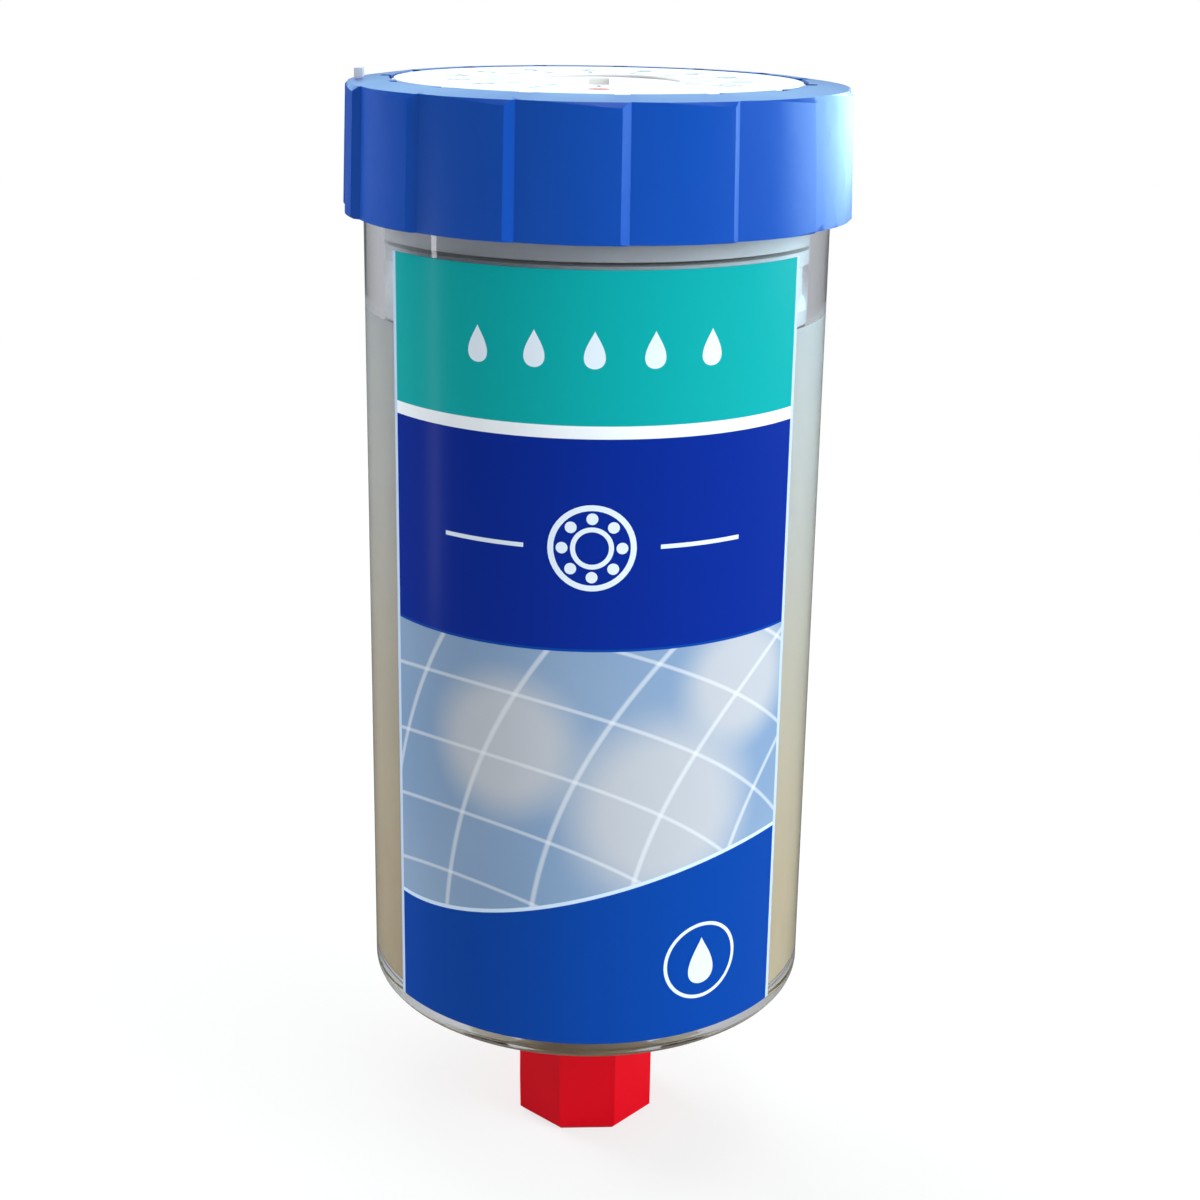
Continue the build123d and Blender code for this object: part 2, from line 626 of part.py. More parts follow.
def dial_o_ring():
    """Small seal round the dial's rim."""
    section = DIAL_SEAL_SECTION / 2
    major = POCKET_R - SHAFT_CLEARANCE - section
    return Pos(0, 0, DIAL_Z + DIAL_THICKNESS / 2) * Torus(major, section)


def dial_clip():
    """Open clip in the shaft's groove under the cover."""
    ring = disc(CLIP_R, CLIP_Z, CLIP_THICKNESS)
    ring -= disc(SHAFT_R - CLIP_GROOVE + CLIP_PLAY, CLIP_Z, CLIP_THICKNESS)
    return ring - slab(CLIP_MOUTH, CLIP_R, CLIP_Z, CLIP_THICKNESS, (0, -CLIP_R / 2))


def wiper():
    """Rotary contact: a moulded hub on the shaft's flat, with two spring arms down to the board."""
    hub = disc(WIPER_R, WIPER_Z, WIPER_THICKNESS)
    bore = disc(SHAFT_R + SHAFT_CLEARANCE, WIPER_Z, WIPER_THICKNESS)
    flat_y = SHAFT_R - SHAFT_FLAT + SHAFT_CLEARANCE
    bore -= slab(2 * WIPER_R, WIPER_R, WIPER_Z, WIPER_THICKNESS, (0, flat_y + WIPER_R / 2))
    hub -= bore
    tip_z = BOARD_TOP_Z + WIPER_TIP_GAP
    start = WIPER_R - WIPER_ARM_WIDTH
    upper = [(start, WIPER_Z + LEAF_THICKNESS), (WIPER_R, WIPER_Z + LEAF_THICKNESS),
             (WIPER_REACH, tip_z + LEAF_THICKNESS)]
    lower = [(x, z - LEAF_THICKNESS) for x, z in reversed(upper)]
    side = Face(Wire.make_polygon([Vector(x, -WIPER_ARM_WIDTH / 2, z) for x, z in upper + lower], close=True))
    arm = extrude(side, WIPER_ARM_WIDTH, (0, 1, 0))
    for turn in (-90, 90):
        hub += Rot(0, 0, turn) * arm
    return hub


def outlet_cap():
    """Eight-sided screw cap over the outlet's thread."""
    low = -CAP_SEAL_THICKNESS - CAP_END
    high = OUTLET_LENGTH - CAP_MOUTH_GAP
    turns = [CAP_TURN + (index + 0.5) * 360 / CAP_SIDES for index in range(CAP_SIDES)]
    outline = Wire.make_polygon([at(CAP_CORNER_R, turn, low) for turn in turns], close=True)
    prism = extrude(Face(outline), high - low, (0, 0, 1))
    prism = chamfer(prism.edges().group_by(Axis.Z)[0], CAP_EDGE)
    mouth_r = thread_r(OUTLET_LENGTH) + CAP_CLEARANCE
    bore = turned(
        (0, -CAP_SEAL_THICKNESS),
        (thread_r(-CAP_SEAL_THICKNESS) + CAP_CLEARANCE, -CAP_SEAL_THICKNESS),
        (thread_r(high - CAP_MOUTH_STEP) + CAP_CLEARANCE, high - CAP_MOUTH_STEP),
        (mouth_r, high - CAP_MOUTH_STEP),
        (mouth_r, high),
        (0, high),
    )
    return prism - bore


def cap_seal():
    """Sealing disc in the cap, against the outlet's tip."""
    return disc(thread_r(0) - CAP_SEAL_GAP, -CAP_SEAL_THICKNESS, CAP_SEAL_THICKNESS)


def parts():
    """Every piece by its node name."""
    rear, left, right = cell_places()
    return {
        "container": container(),
        "front_label": front_label(),
        "piston": piston(),
        "grease_charge": grease_charge(),
        "grip_ring": grip_ring(),
        "drive_housing": drive_housing(),
        "housing_o_ring": housing_o_ring(),
        "port_filter": port_filter(),
        "gas_cell_gasket": gas_cell_gasket(),
        "gas_cell": gas_cell(),
        "battery_left": battery(left),
        "battery_right": battery(right),
        "battery_link": battery_strip(LINK_WIDTH, LINK_THICKNESS),
        "cell_tray": cell_tray(),
        "contact_left": leaf(BATTERY_TOP_Z, left[1], 0),
        "contact_right": leaf(BATTERY_TOP_Z, right[1], 180),
        "gas_cell_contact": leaf(GAS_CELL_TOP_Z, rear[1], 90),
        "circuit_board": circuit_board(),
        "resistors": resistors(),
        "top_cover": top_cover(),
        "cover_screws": cover_screws(),
        "scale_disc": scale_disc(),
        "time_dial": time_dial(),
        "dial_o_ring": dial_o_ring(),
        "dial_clip": dial_clip(),
        "wiper": wiper(),
        "outlet_cap": outlet_cap(),
        "cap_seal": cap_seal(),
    }


os.makedirs("parts", exist_ok=True)
for name, solid in parts().items():
    export_step(solid, f"parts/{name}.step")
stroke = PISTON_Z - INNER_FLOOR_Z - PISTON_END_GAP
print(f"barrel {FLOOR_Z:.2f} to {RING_Z:.2f}, top {RING_TOP_Z:.2f}, piston stroke {stroke:.2f}")
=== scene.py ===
from math import atan2, cos, hypot, pi, radians, sin, tan

import bmesh
import bpy
from bpy.props import FloatProperty, FloatVectorProperty, IntProperty, PointerProperty
from mathutils import Matrix, Vector


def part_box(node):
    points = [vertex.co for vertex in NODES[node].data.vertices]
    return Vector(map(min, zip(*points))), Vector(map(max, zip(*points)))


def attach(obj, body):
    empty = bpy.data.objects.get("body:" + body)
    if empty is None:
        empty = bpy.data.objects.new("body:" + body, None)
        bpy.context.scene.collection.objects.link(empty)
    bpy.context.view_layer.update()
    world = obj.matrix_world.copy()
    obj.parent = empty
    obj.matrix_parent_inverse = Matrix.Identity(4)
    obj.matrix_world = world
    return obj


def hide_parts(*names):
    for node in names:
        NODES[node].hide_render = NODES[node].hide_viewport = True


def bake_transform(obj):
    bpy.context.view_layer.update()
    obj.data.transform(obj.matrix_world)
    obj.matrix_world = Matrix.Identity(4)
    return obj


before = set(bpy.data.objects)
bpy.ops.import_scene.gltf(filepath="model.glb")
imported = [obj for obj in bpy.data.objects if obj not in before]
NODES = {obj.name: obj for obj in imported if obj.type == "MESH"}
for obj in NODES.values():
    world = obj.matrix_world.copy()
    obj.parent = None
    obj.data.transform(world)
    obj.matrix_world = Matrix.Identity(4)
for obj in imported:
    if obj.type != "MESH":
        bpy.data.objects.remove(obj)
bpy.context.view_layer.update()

bl_info = {
    "name": "Automatic lubricator",
    "version": (1, 0, 0),
    "blender": (4, 5, 0),
    "location": "3D View > Sidebar > Lubricator",
    "description": "Builds the look of a gas-driven grease lubricator round its fixed frame",
    "category": "Object",
}

MM = 0.001
FULL_TURN = 2 * pi
# Vertices that are nearer to each other than this are merged
WELD = 1e-7

LABEL_LOW, LABEL_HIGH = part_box("front_label")
RING_LOW, RING_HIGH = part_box("grip_ring")
SHELL_LOW, SHELL_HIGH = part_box("container")
PISTON_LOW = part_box("piston")[0]
CAP_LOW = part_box("outlet_cap")[0]
SCALE_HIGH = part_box("scale_disc")[1]

# Slope of the barrel's floor, which the piston's underside repeats
FLOOR_SLOPE = tan(radians(11.8))
# Faces round the barrel and the grease
BARREL_STEPS = 144
# Chamfer of the outlet's tip, above which its thread starts
TIP_CHAMFER = 0.5 * MM
# Turn from the front to either end of the film
FILM_HALF_TURN = radians(55)
# Printed width of the film to each side, and where its bare margin starts, in millimetres
FILM_REACH = 24.0
FILM_MARGIN = 23.6
# Soft glows in the film's picture panel: middle and reach, in millimetres
GLOWS = (((-9.0, 34.0, 0.0), 10.0), ((8.0, 27.0, 0.0), 13.0), ((17.0, 40.0, 0.0), 9.0))
# Thin arcs in the panel: middle and spacing, in millimetres
ARCS = (((-16.0, -14.0, 0.0), 7.5), ((46.0, 8.0, 0.0), 10.0))
# Longest edge of a printed shape, so that it bends round the barrel
INK_STEP = 0.5 * MM
# Size of the floor, in metres, and the share of white that shows on it near the object
FLOOR_RADIUS = 20.0
NEAR_WHITE = 0.72
# Colours of the lamps and the surroundings
WHITE = (1.0, 1.0, 1.0)
COOL = (0.86, 0.95, 1.0)


def srgb(code):
    """Linear values of an sRGB hex colour."""
    channels = [int(code[start:start + 2], 16) / 255 for start in (1, 3, 5)]
    return tuple(c / 12.92 if c <= 0.04045 else ((c + 0.055) / 1.055) ** 2.4 for c in channels)


def length(name, description, size):
    """Property that holds a length in metres."""
    return FloatProperty(name=name, description=description, default=size, unit="LENGTH")


def turn_angle(name, description, turn):
    """Property that holds an angle in radians."""
    return FloatProperty(name=name, description=description, default=turn, subtype="ANGLE")


def number(name, description, value):
    """Property that holds a plain number."""
    return FloatProperty(name=name, description=description, default=value)


def paint(name, description, code):
    """Property that holds a colour, given as an sRGB hex value."""
    return FloatVectorProperty(name=name, description=description, default=srgb(code),
                               subtype="COLOR", min=0, max=1)


class BarrelSizes(bpy.types.PropertyGroup):
    """Sizes of the clear barrel, its outlet and the grease in it"""
    radius: length("Radius", "Outside radius of the barrel", 25.0 * MM)
    wall: length("Wall", "Thickness of the moulded wall", 2.0 * MM)
    lower_edge: length("Lower edge", "Height of the barrel's lower edge", LABEL_LOW.z - 2.1 * MM)
    foot_width: length("Foot width", "Flat rim round the underside", 2.5 * MM)
    edge_round: length("Edge rounding", "Rounding of the lower edge", 1.2 * MM)
    corner_round: length("Corner rounding", "Rounding inside, at the floor", 0.8 * MM)
    neck_step: length("Neck step", "Shoulder under the grip ring", 0.3 * MM)
    bead: length("Snap bead", "Height of the bead that holds the ring", 0.6 * MM)
    outlet_length: length("Outlet length", "Length of the threaded outlet", 12.4 * MM)
    boss_radius: length("Boss radius", "Radius of the outlet's boss", 8.2 * MM)
    boss_height: length("Boss height", "Height of the outlet's boss", 2.6 * MM)
    outlet_bore: length("Outlet bore", "Radius of the hole in the outlet", 3.2 * MM)
    funnel_radius: length("Funnel radius", "Radius of the funnel's mouth", 5.0 * MM)
    funnel_depth: length("Funnel depth", "Depth of the funnel", 2.2 * MM)
    thread_radius: length("Thread radius", "Crest radius at the gauge line", 6.5785 * MM)
    thread_gauge: length("Gauge line", "Height of the gauge line", 6.0 * MM)
    thread_pitch: length("Thread pitch", "19 threads to the inch", 25.4 / 19 * MM)
    thread_depth: length("Thread depth", "Depth of the taper thread", 0.82 * MM)
    grease_gap: length("Grease gap", "Between the grease and the piston", 0.2 * MM)
    wetting: length("Wetting", "Depth by which the grease grips the wall", 0.02 * MM)
    tint: paint("Tint", "Tint of the clear plastic", "#ECEFF6")
    grease: paint("Grease", "Colour of the grease", "#D5C19F")
    aired: paint("Aired grease", "Colour of the grease at the top", "#C9CBCA")


class LabelDesign(bpy.types.PropertyGroup):
    """Heights and colours of the printed film"""
    white_line: length("White line", "Thickness of the white line", 1.3 * MM)
    upper_band: length("Upper band", "Height of the upper band", 15.6 * MM)
    middle_band: length("Middle band", "Height of the dark band", 22.0 * MM)
    wave_left: length("Wave, left", "Height of the wave at the left", 13.0 * MM)
    wave_right: length("Wave, right", "Height of the wave at the right", 21.5 * MM)
    upper: paint("Upper colour", "Colour of the upper band", "#009FA0")
    middle: paint("Middle colour", "Colour of the dark band", "#00268C")
    lower: paint("Lower colour", "Colour of the lower field", "#00409C")
    panel: paint("Panel colour", "Colour of the picture panel", "#6F8FB4")
    panel_light: paint("Panel light", "Pale part of the panel", "#BEC0C4")


class HeadFinish(bpy.types.PropertyGroup):
    """Roundings and colours of the grip ring, the dial and the cap, and the dial's scale"""
    ring_edge: length("Ring edges", "Rounding of the ring's edges", 0.12 * MM)
    small_edge: length("Small edges", "Rounding of small moulded edges", 0.08 * MM)
    cap_edge: length("Cap edges", "Rounding of the cap's edges", 0.35 * MM)
    months: IntProperty(name="Months", description="Longest setting on the dial", default=12)
    dial_turn: turn_angle("Dial turn", "Turn from off to the longest setting", radians(300))
    ring: paint("Ring", "Colour of the grip ring", "#0048AA")
    cap: paint("Cap", "Colour of the outlet cap", "#D60018")
    print_dark: paint("Scale print", "Colour of the dial's numbers", "#90969E")
    print_red: paint("Off mark", "Colour of the off mark", "#D8685E")


class StageLook(bpy.types.PropertyGroup):
    """Camera, lamps, mirrored panels and white surroundings; powers are in watts"""
    distance: length("Distance", "Camera's distance in front of the axis", 211.81 * MM)
    height: length("Height", "Camera's height", 133.88 * MM)
    pitch: turn_angle("Pitch", "Camera's tilt downwards", 0.284)
    yaw: turn_angle("Yaw", "Camera's turn to the right", 0.004)
    roll: turn_angle("Roll", "Camera's roll", 0.016)
    lens: number("Lens", "Focal length in millimetres", 58.78)
    shift: number("Shift", "Upward shift of the frame", -0.07)
    key_power: number("Key lamp", "Power of the lamp at the right", 4.3)
    window_power: number("Window panel", "Power of the panel behind at the right", 7.0)
    fill_power: number("Fill lamp", "Power of the lamp at the left", 5.4)
    back_power: number("Back panel", "Power of the long panel far behind", 2.4)
    strip_power: number("Strip panel", "Power of the narrow panel at the left", 0.02)
    reflected: FloatVectorProperty(name="Panel tint", description="Colour that the panels mirror",
                                   subtype="COLOR", min=0, max=1, default=(0.55, 0.90, 1.0))
    top_power: number("Top lamp", "Power of the lamp overhead", 1.9)
    ambient: number("Ambient", "Level of the light from all round", 0.52)
    clear: number("Clear level", "Share of white seen through clear plastic", 0.60)
    gloss: number("Gloss level", "Share of white seen in glossy plastic", 0.12)
    floor: paint("Floor", "Colour of the floor", "#EDEDED")


def add(tree, kind, inputs=None, **settings):
    """Adds a node: an input given as a socket is linked, and any other is set."""
    made = tree.nodes.new(kind)
    for name, value in settings.items():
        setattr(made, name, value)
    for name, value in (inputs or {}).items():
        if isinstance(value, bpy.types.NodeSocket):
            tree.links.new(value, made.inputs[name])
        else:
            made.inputs[name].default_value = value
    return made


def start_material(name):
    """Empty node material and its tree."""
    material = bpy.data.materials.new(name)
    material.use_nodes = True
    material.node_tree.nodes.clear()
    return material, material.node_tree


def rgba(colour, share=1.0):
    """Opaque colour, made darker or lighter by a share."""
    return (*(min(1.0, channel * share) for channel in colour), 1.0)


def moulded_plastic(name, colour, roughness, grain, depth, ior, tone=0.06, subsurface=0.0,
                    shine=0.5):
    """Injection-moulded plastic: an even colour, a fine spark-eroded grain and faint flow marks.

    grain and depth are the real spacing and height of the grain, in metres, tone is the share by
    which the colour varies, and shine is the specular level.
    """
    material, tree = start_material(name)
    place = add(tree, "ShaderNodeTexCoord").outputs["Object"]
    fine = add(tree, "ShaderNodeTexNoise", {"Vector": place, "Scale": 1 / grain, "Detail": 2.0})
    flow = add(tree, "ShaderNodeTexNoise", {"Vector": place, "Scale": 1 / (9 * MM), "Detail": 3.0})
    shade = add(tree, "ShaderNodeMix", {"Factor": flow.outputs["Fac"], "A": rgba(colour, 1 - tone),
                                        "B": rgba(colour, 1 + tone)}, data_type="RGBA")
    gloss = add(tree, "ShaderNodeMapRange", {"Value": flow.outputs["Fac"],
                                             "To Min": roughness - 0.04,
                                             "To Max": roughness + 0.04})
    bump = add(tree, "ShaderNodeBump", {"Height": fine.outputs["Fac"], "Strength": 0.6,
                                        "Distance": depth})
    shader = add(tree, "ShaderNodeBsdfPrincipled", {
        "Base Color": shade.outputs["Result"], "Roughness": gloss.outputs["Result"],
        "Normal": bump.outputs["Normal"], "IOR": ior, "Specular IOR Level": shine,
        "Subsurface Weight": subsurface, "Subsurface Radius": (1.0, 1.0, 1.0),
        "Subsurface Scale": 1.0 * MM})
    add(tree, "ShaderNodeOutputMaterial", {"Surface": shader.outputs["BSDF"]})
    return material


def clear_styrene(colour):
    """Clear styrene copolymer, injection-moulded and unpolished: bright, slightly wavy, IOR 1.57."""
    material, tree = start_material("clear_styrene_moulded")
    place = add(tree, "ShaderNodeTexCoord").outputs["Object"]
    stretched = add(tree, "ShaderNodeMapping", {"Vector": place, "Scale": (1.0, 1.0, 0.25)})
    wave = add(tree, "ShaderNodeTexNoise", {"Vector": stretched.outputs["Vector"],
                                            "Scale": 1 / (5 * MM), "Detail": 2.0})
    bump = add(tree, "ShaderNodeBump", {"Height": wave.outputs["Fac"], "Strength": 0.25,
                                        "Distance": 0.05 * MM})
    shader = add(tree, "ShaderNodeBsdfPrincipled", {
        "Base Color": rgba(colour), "Roughness": 0.03, "IOR": 1.57, "Transmission Weight": 1.0,
        "Normal": bump.outputs["Normal"]})
    add(tree, "ShaderNodeOutputMaterial", {"Surface": shader.outputs["BSDF"]})
    return material


def lithium_grease(colour, paler):
    """Lithium soap grease pressed into a clear wall: creamy, soft gloss, faint streaks from filling.

    It is a little paler towards the top, where it holds more air.
    """
    material, tree = start_material("lithium_soap_grease")
    place = add(tree, "ShaderNodeTexCoord").outputs["Object"]
    stretched = add(tree, "ShaderNodeMapping", {"Vector": place, "Scale": (1.0, 1.0, 0.3)})
    streaks = add(tree, "ShaderNodeTexNoise", {"Vector": stretched.outputs["Vector"],
                                               "Scale": 1 / (6 * MM), "Detail": 4.0,
                                               "Distortion": 0.6})
    shade = add(tree, "ShaderNodeMix", {"Factor": streaks.outputs["Fac"], "A": rgba(colour, 0.86),
                                        "B": rgba(colour, 1.1)}, data_type="RGBA")
    height = add(tree, "ShaderNodeSeparateXYZ", {"Vector": place})
    rise = add(tree, "ShaderNodeMapRange", {"Value": height.outputs["Z"],
                                            "From Min": SHELL_LOW.z + 20 * MM,
                                            "From Max": LABEL_HIGH.z, "To Max": 0.9},
               interpolation_type="SMOOTHSTEP")
    shade = add(tree, "ShaderNodeMix", {"Factor": rise.outputs["Result"],
                                        "A": shade.outputs["Result"],
                                        "B": rgba(paler)}, data_type="RGBA")
    bump = add(tree, "ShaderNodeBump", {"Height": streaks.outputs["Fac"], "Strength": 0.3,
                                        "Distance": 0.3 * MM})
    shader = add(tree, "ShaderNodeBsdfPrincipled", {
        "Base Color": shade.outputs["Result"], "Roughness": 0.32, "IOR": 1.48,
        "Subsurface Weight": 0.35, "Subsurface Radius": (1.0, 0.8, 0.45),
        "Subsurface Scale": 2.0 * MM, "Normal": bump.outputs["Normal"]})
    add(tree, "ShaderNodeOutputMaterial", {"Surface": shader.outputs["BSDF"]})
    return material


def flat_bands(tree, design, up, height, panel_top):
    """Colour of the film's flat bands, which change at set heights above its lower edge."""
    share = add(tree, "ShaderNodeMath", {0: up, 1: height / MM}, operation="DIVIDE")
    bands = add(tree, "ShaderNodeValToRGB", {"Fac": share.outputs["Value"]})
    ramp = bands.color_ramp
    ramp.interpolation = "CONSTANT"
    ramp.elements[0].color = rgba(design.lower)
    ramp.elements[1].position = 0.9999
    ramp.elements[1].color = rgba(design.upper)
    stops = [(panel_top / height, design.middle),
             ((panel_top + design.middle_band) / height, srgb("#E9EEF2")),
             ((height - design.upper_band) / height, design.upper)]
    for position, colour in stops:
        ramp.elements.new(position).color = rgba(colour)
    return bands.outputs["Color"]


def picture_panel(tree, design, place):
    """Colour of the picture panel: soft pale glows, and thin arcs that spread across it."""
    # Broad patches of tone, about 22 mm apart
    tone = add(tree, "ShaderNodeTexNoise", {"Vector": place, "Scale": 1 / 22, "Detail": 1.0})
    shade = add(tree, "ShaderNodeMix", {"Factor": tone.outputs["Fac"], "A": rgba(design.panel),
                                        "B": rgba(srgb("#93A7BF"))}, data_type="RGBA")
    for middle, reach in GLOWS:
        away = add(tree, "ShaderNodeVectorMath", {0: place, 1: middle}, operation="DISTANCE")
        glow = add(tree, "ShaderNodeMapRange", {"Value": away.outputs["Value"], "From Min": reach,
                                                "From Max": reach * 0.45, "To Max": 0.85},
                   interpolation_type="SMOOTHSTEP")
        shade = add(tree, "ShaderNodeMix", {"Factor": glow.outputs["Result"],
                                            "A": shade.outputs["Result"],
                                            "B": rgba(design.panel_light)}, data_type="RGBA")
    for middle, pitch in ARCS:
        away = add(tree, "ShaderNodeVectorMath", {0: place, 1: middle}, operation="DISTANCE")
        turns = add(tree, "ShaderNodeMath", {0: away.outputs["Value"], 1: FULL_TURN / pitch},
                    operation="MULTIPLY")
        swing = add(tree, "ShaderNodeMath", {0: turns.outputs["Value"]}, operation="SINE")
        # Only the crest of each swing is drawn, as a thin half-strength line
        line = add(tree, "ShaderNodeMapRange", {"Value": swing.outputs["Value"],
                                                "From Min": 0.975, "From Max": 1.0,
                                                "To Max": 0.5})
        shade = add(tree, "ShaderNodeMix", {"Factor": line.outputs["Result"],
                                            "A": shade.outputs["Result"],
                                            "B": rgba(srgb("#E4E8EC"))}, data_type="RGBA")
    return shade.outputs["Result"]


def printed_film(design, height):
    """Gloss-varnished polypropylene film, printed in flat bands with a soft picture panel.

    It reads the film's own map: millimetres round the barrel from the front, and up from its edge.
    """
    material, tree = start_material("printed_film_gloss_varnish")
    place = add(tree, "ShaderNodeUVMap", uv_map="film_mm").outputs["UV"]
    split = add(tree, "ShaderNodeSeparateXYZ", {"Vector": place})
    across, up = split.outputs["X"], split.outputs["Y"]
    panel_top = height - design.upper_band - design.white_line - design.middle_band
    wave = add(tree, "ShaderNodeMapRange", {
        "Value": across, "From Min": -FILM_REACH, "From Max": FILM_REACH,
        "To Min": design.wave_left / MM, "To Max": design.wave_right / MM},
        interpolation_type="SMOOTHSTEP")
    above = add(tree, "ShaderNodeMath", {0: up, 1: wave.outputs["Result"]}, operation="SUBTRACT")
    over_wave = add(tree, "ShaderNodeMath", {0: above.outputs["Value"], 1: 0.0},
                    operation="GREATER_THAN")
    under_band = add(tree, "ShaderNodeMath", {0: up, 1: panel_top / MM}, operation="LESS_THAN")
    in_panel = add(tree, "ShaderNodeMath", {0: over_wave.outputs["Value"],
                                            1: under_band.outputs["Value"]}, operation="MULTIPLY")
    # A pale line traces the wave, 0.22 mm to each side of it
    on_wave = add(tree, "ShaderNodeMath", {0: above.outputs["Value"], 1: 0.0, 2: 0.22},
                  operation="COMPARE")
    from_front = add(tree, "ShaderNodeMath", {0: across}, operation="ABSOLUTE")
    in_margin = add(tree, "ShaderNodeMath", {0: from_front.outputs["Value"], 1: FILM_MARGIN},
                    operation="GREATER_THAN")
    colour = flat_bands(tree, design, up, height, panel_top)
    for where, over in ((in_panel, picture_panel(tree, design, place)),
                        (on_wave, rgba(srgb("#C8DCEE"))), (in_margin, rgba(srgb("#B9CBE4")))):
        colour = add(tree, "ShaderNodeMix", {"Factor": where.outputs["Value"], "A": colour,
                                             "B": over}, data_type="RGBA").outputs["Result"]
    # Faint ripple of a film laid on by hand, about 7 mm from crest to crest
    ripple = add(tree, "ShaderNodeTexNoise", {"Vector": place, "Scale": 1 / 7, "Detail": 2.0})
    bump = add(tree, "ShaderNodeBump", {"Height": ripple.outputs["Fac"], "Strength": 0.15,
                                        "Distance": 0.02 * MM})
    shader = add(tree, "ShaderNodeBsdfPrincipled", {
        "Base Color": colour, "Roughness": 0.24, "IOR": 1.49, "Specular IOR Level": 0.12,
        "Normal": bump.outputs["Normal"]})
    add(tree, "ShaderNodeOutputMaterial", {"Surface": shader.outputs["BSDF"]})
    return material


def plain_metal(name, colour, roughness, scratch):
    """Plated or rolled metal: a bright surface with fine rubbed lines, scratch metres apart."""
    material, tree = start_material(name)
    place = add(tree, "ShaderNodeTexCoord").outputs["Object"]
    rubbed = add(tree, "ShaderNodeMapping", {"Vector": place, "Scale": (1.0, 0.1, 1.0)})
    lines = add(tree, "ShaderNodeTexNoise", {"Vector": rubbed.outputs["Vector"],
                                             "Scale": 1 / scratch, "Detail": 3.0})
    gloss = add(tree, "ShaderNodeMapRange", {"Value": lines.outputs["Fac"],
                                             "To Min": roughness - 0.06,
                                             "To Max": roughness + 0.1})
    shader = add(tree, "ShaderNodeBsdfPrincipled", {
        "Base Color": rgba(colour), "Metallic": 1.0, "Roughness": gloss.outputs["Result"]})
    add(tree, "ShaderNodeOutputMaterial", {"Surface": shader.outputs["BSDF"]})
    return material


def turn_round(bm, geometry, steps, angle=FULL_TURN):
    """Turns geometry about Z, and closes a full turn on itself."""
    bmesh.ops.spin(bm, geom=geometry, cent=(0, 0, 0), axis=(0, 0, 1), dvec=(0, 0, 0),
                   angle=angle, steps=steps, use_merge=angle == FULL_TURN)


def lathe(corners, steps):
    """Closed solid turned about Z from its half section; the ends may lie on the axis."""
    bm = bmesh.new()
    ring = [bm.verts.new((radius, 0.0, z)) for radius, z in corners]
    pairs = list(zip(ring, ring[1:]))
    if corners[0][0] > 0 or corners[-1][0] > 0:
        pairs.append((ring[-1], ring[0]))
    edges = [bm.edges.new(pair) for pair in pairs]
    turn_round(bm, ring + edges, steps)
    bmesh.ops.remove_doubles(bm, verts=bm.verts, dist=WELD)
    bmesh.ops.recalc_face_normals(bm, faces=bm.faces)
    return bm


def round_rim(bm, radius, z, width, segments):
    """Rounds the circular edge at one radius and height."""
    near = 1e-6
    rim = [edge for edge in bm.edges if all(
        abs(hypot(v.co.x, v.co.y) - radius) < near and abs(v.co.z - z) < near
        for v in edge.verts)]
    bmesh.ops.bevel(bm, geom=rim, offset=width, offset_type="OFFSET", segments=segments,
                    profile=0.5, affect="EDGES", material=-1)


def round_edges(bm, width, segments, angle):
    """Rounds every edge that turns by more than an angle in degrees."""
    sharp = [edge for edge in bm.edges
             if len(edge.link_faces) == 2 and edge.calc_face_angle() > radians(angle)]
    bmesh.ops.bevel(bm, geom=sharp, offset=width, offset_type="OFFSET", segments=segments,
                    profile=0.5, affect="EDGES", clamp_overlap=True, material=-1)


def placed(name, data):
    """New object in the scene."""
    thing = bpy.data.objects.new(name, data)
    bpy.context.scene.collection.objects.link(thing)
    return thing


def as_object(bm, name, material, sharp=32):
    """Finished mesh object with smooth faces and edges that are sharp past an angle in degrees."""
    for face in bm.faces:
        face.smooth = True
    for edge in bm.edges:
        edge.smooth = len(edge.link_faces) == 2 and edge.calc_face_angle() < radians(sharp)
    mesh = bpy.data.meshes.new(name)
    bm.to_mesh(mesh)
    bm.free()
    mesh.materials.append(material)
    return placed(name, mesh)


def softened_copy(node, name, material, width, segments=2, angle=28):
    """Copy of a frame node with its moulded edges rounded."""
    bm = bmesh.new()
    bm.from_mesh(NODES[node].data)
    bmesh.ops.remove_doubles(bm, verts=bm.verts, dist=1e-6)
    bmesh.ops.dissolve_limit(bm, angle_limit=radians(0.4), verts=bm.verts, edges=bm.edges)
    round_edges(bm, width, segments, angle)
    bmesh.ops.triangulate(bm, faces=[face for face in bm.faces if len(face.verts) > 4])
    thing = as_object(bm, name, material)
    thing.modifiers.new("even_faces", "WEIGHTED_NORMAL").keep_sharp = True
    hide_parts(node)
    return thing


def finish_nodes(material, *names):
    """Gives frame nodes their real material."""
    for name in names:
        node = NODES[name]
        node.data.materials.clear()
        node.data.materials.append(material)


def flat_round(bm, middle, inner, outer, steps=48):
    """Flat disc or ring about a point."""
    rings = max(1, round((outer - inner) / INK_STEP))
    row = [bm.verts.new((inner + (outer - inner) * index / rings, 0, 0))
           for index in range(rings + 1)]
    edges = [bm.edges.new(pair) for pair in zip(row, row[1:])]
    known = set(bm.verts) - set(row)
    turn_round(bm, row + edges, steps)
    made = [vert for vert in bm.verts if vert not in known]
    bmesh.ops.translate(bm, vec=(*middle, 0), verts=made)
    return made


def flat_drop(bm, middle, radius):
    """Flat drop with its point upwards: a disc that is pulled long and narrowed at the top."""
    made = flat_round(bm, (0, 0), 0.0, radius)
    for vert in made:
        share = hypot(vert.co.x, vert.co.y) / radius
        turn = atan2(vert.co.x, vert.co.y)
        vert.co.x = share * radius * sin(turn) * abs(sin(turn / 2)) ** 1.4
        vert.co.y = share * radius * 1.25 * cos(turn)
    bmesh.ops.translate(bm, vec=(*middle, 0), verts=made)


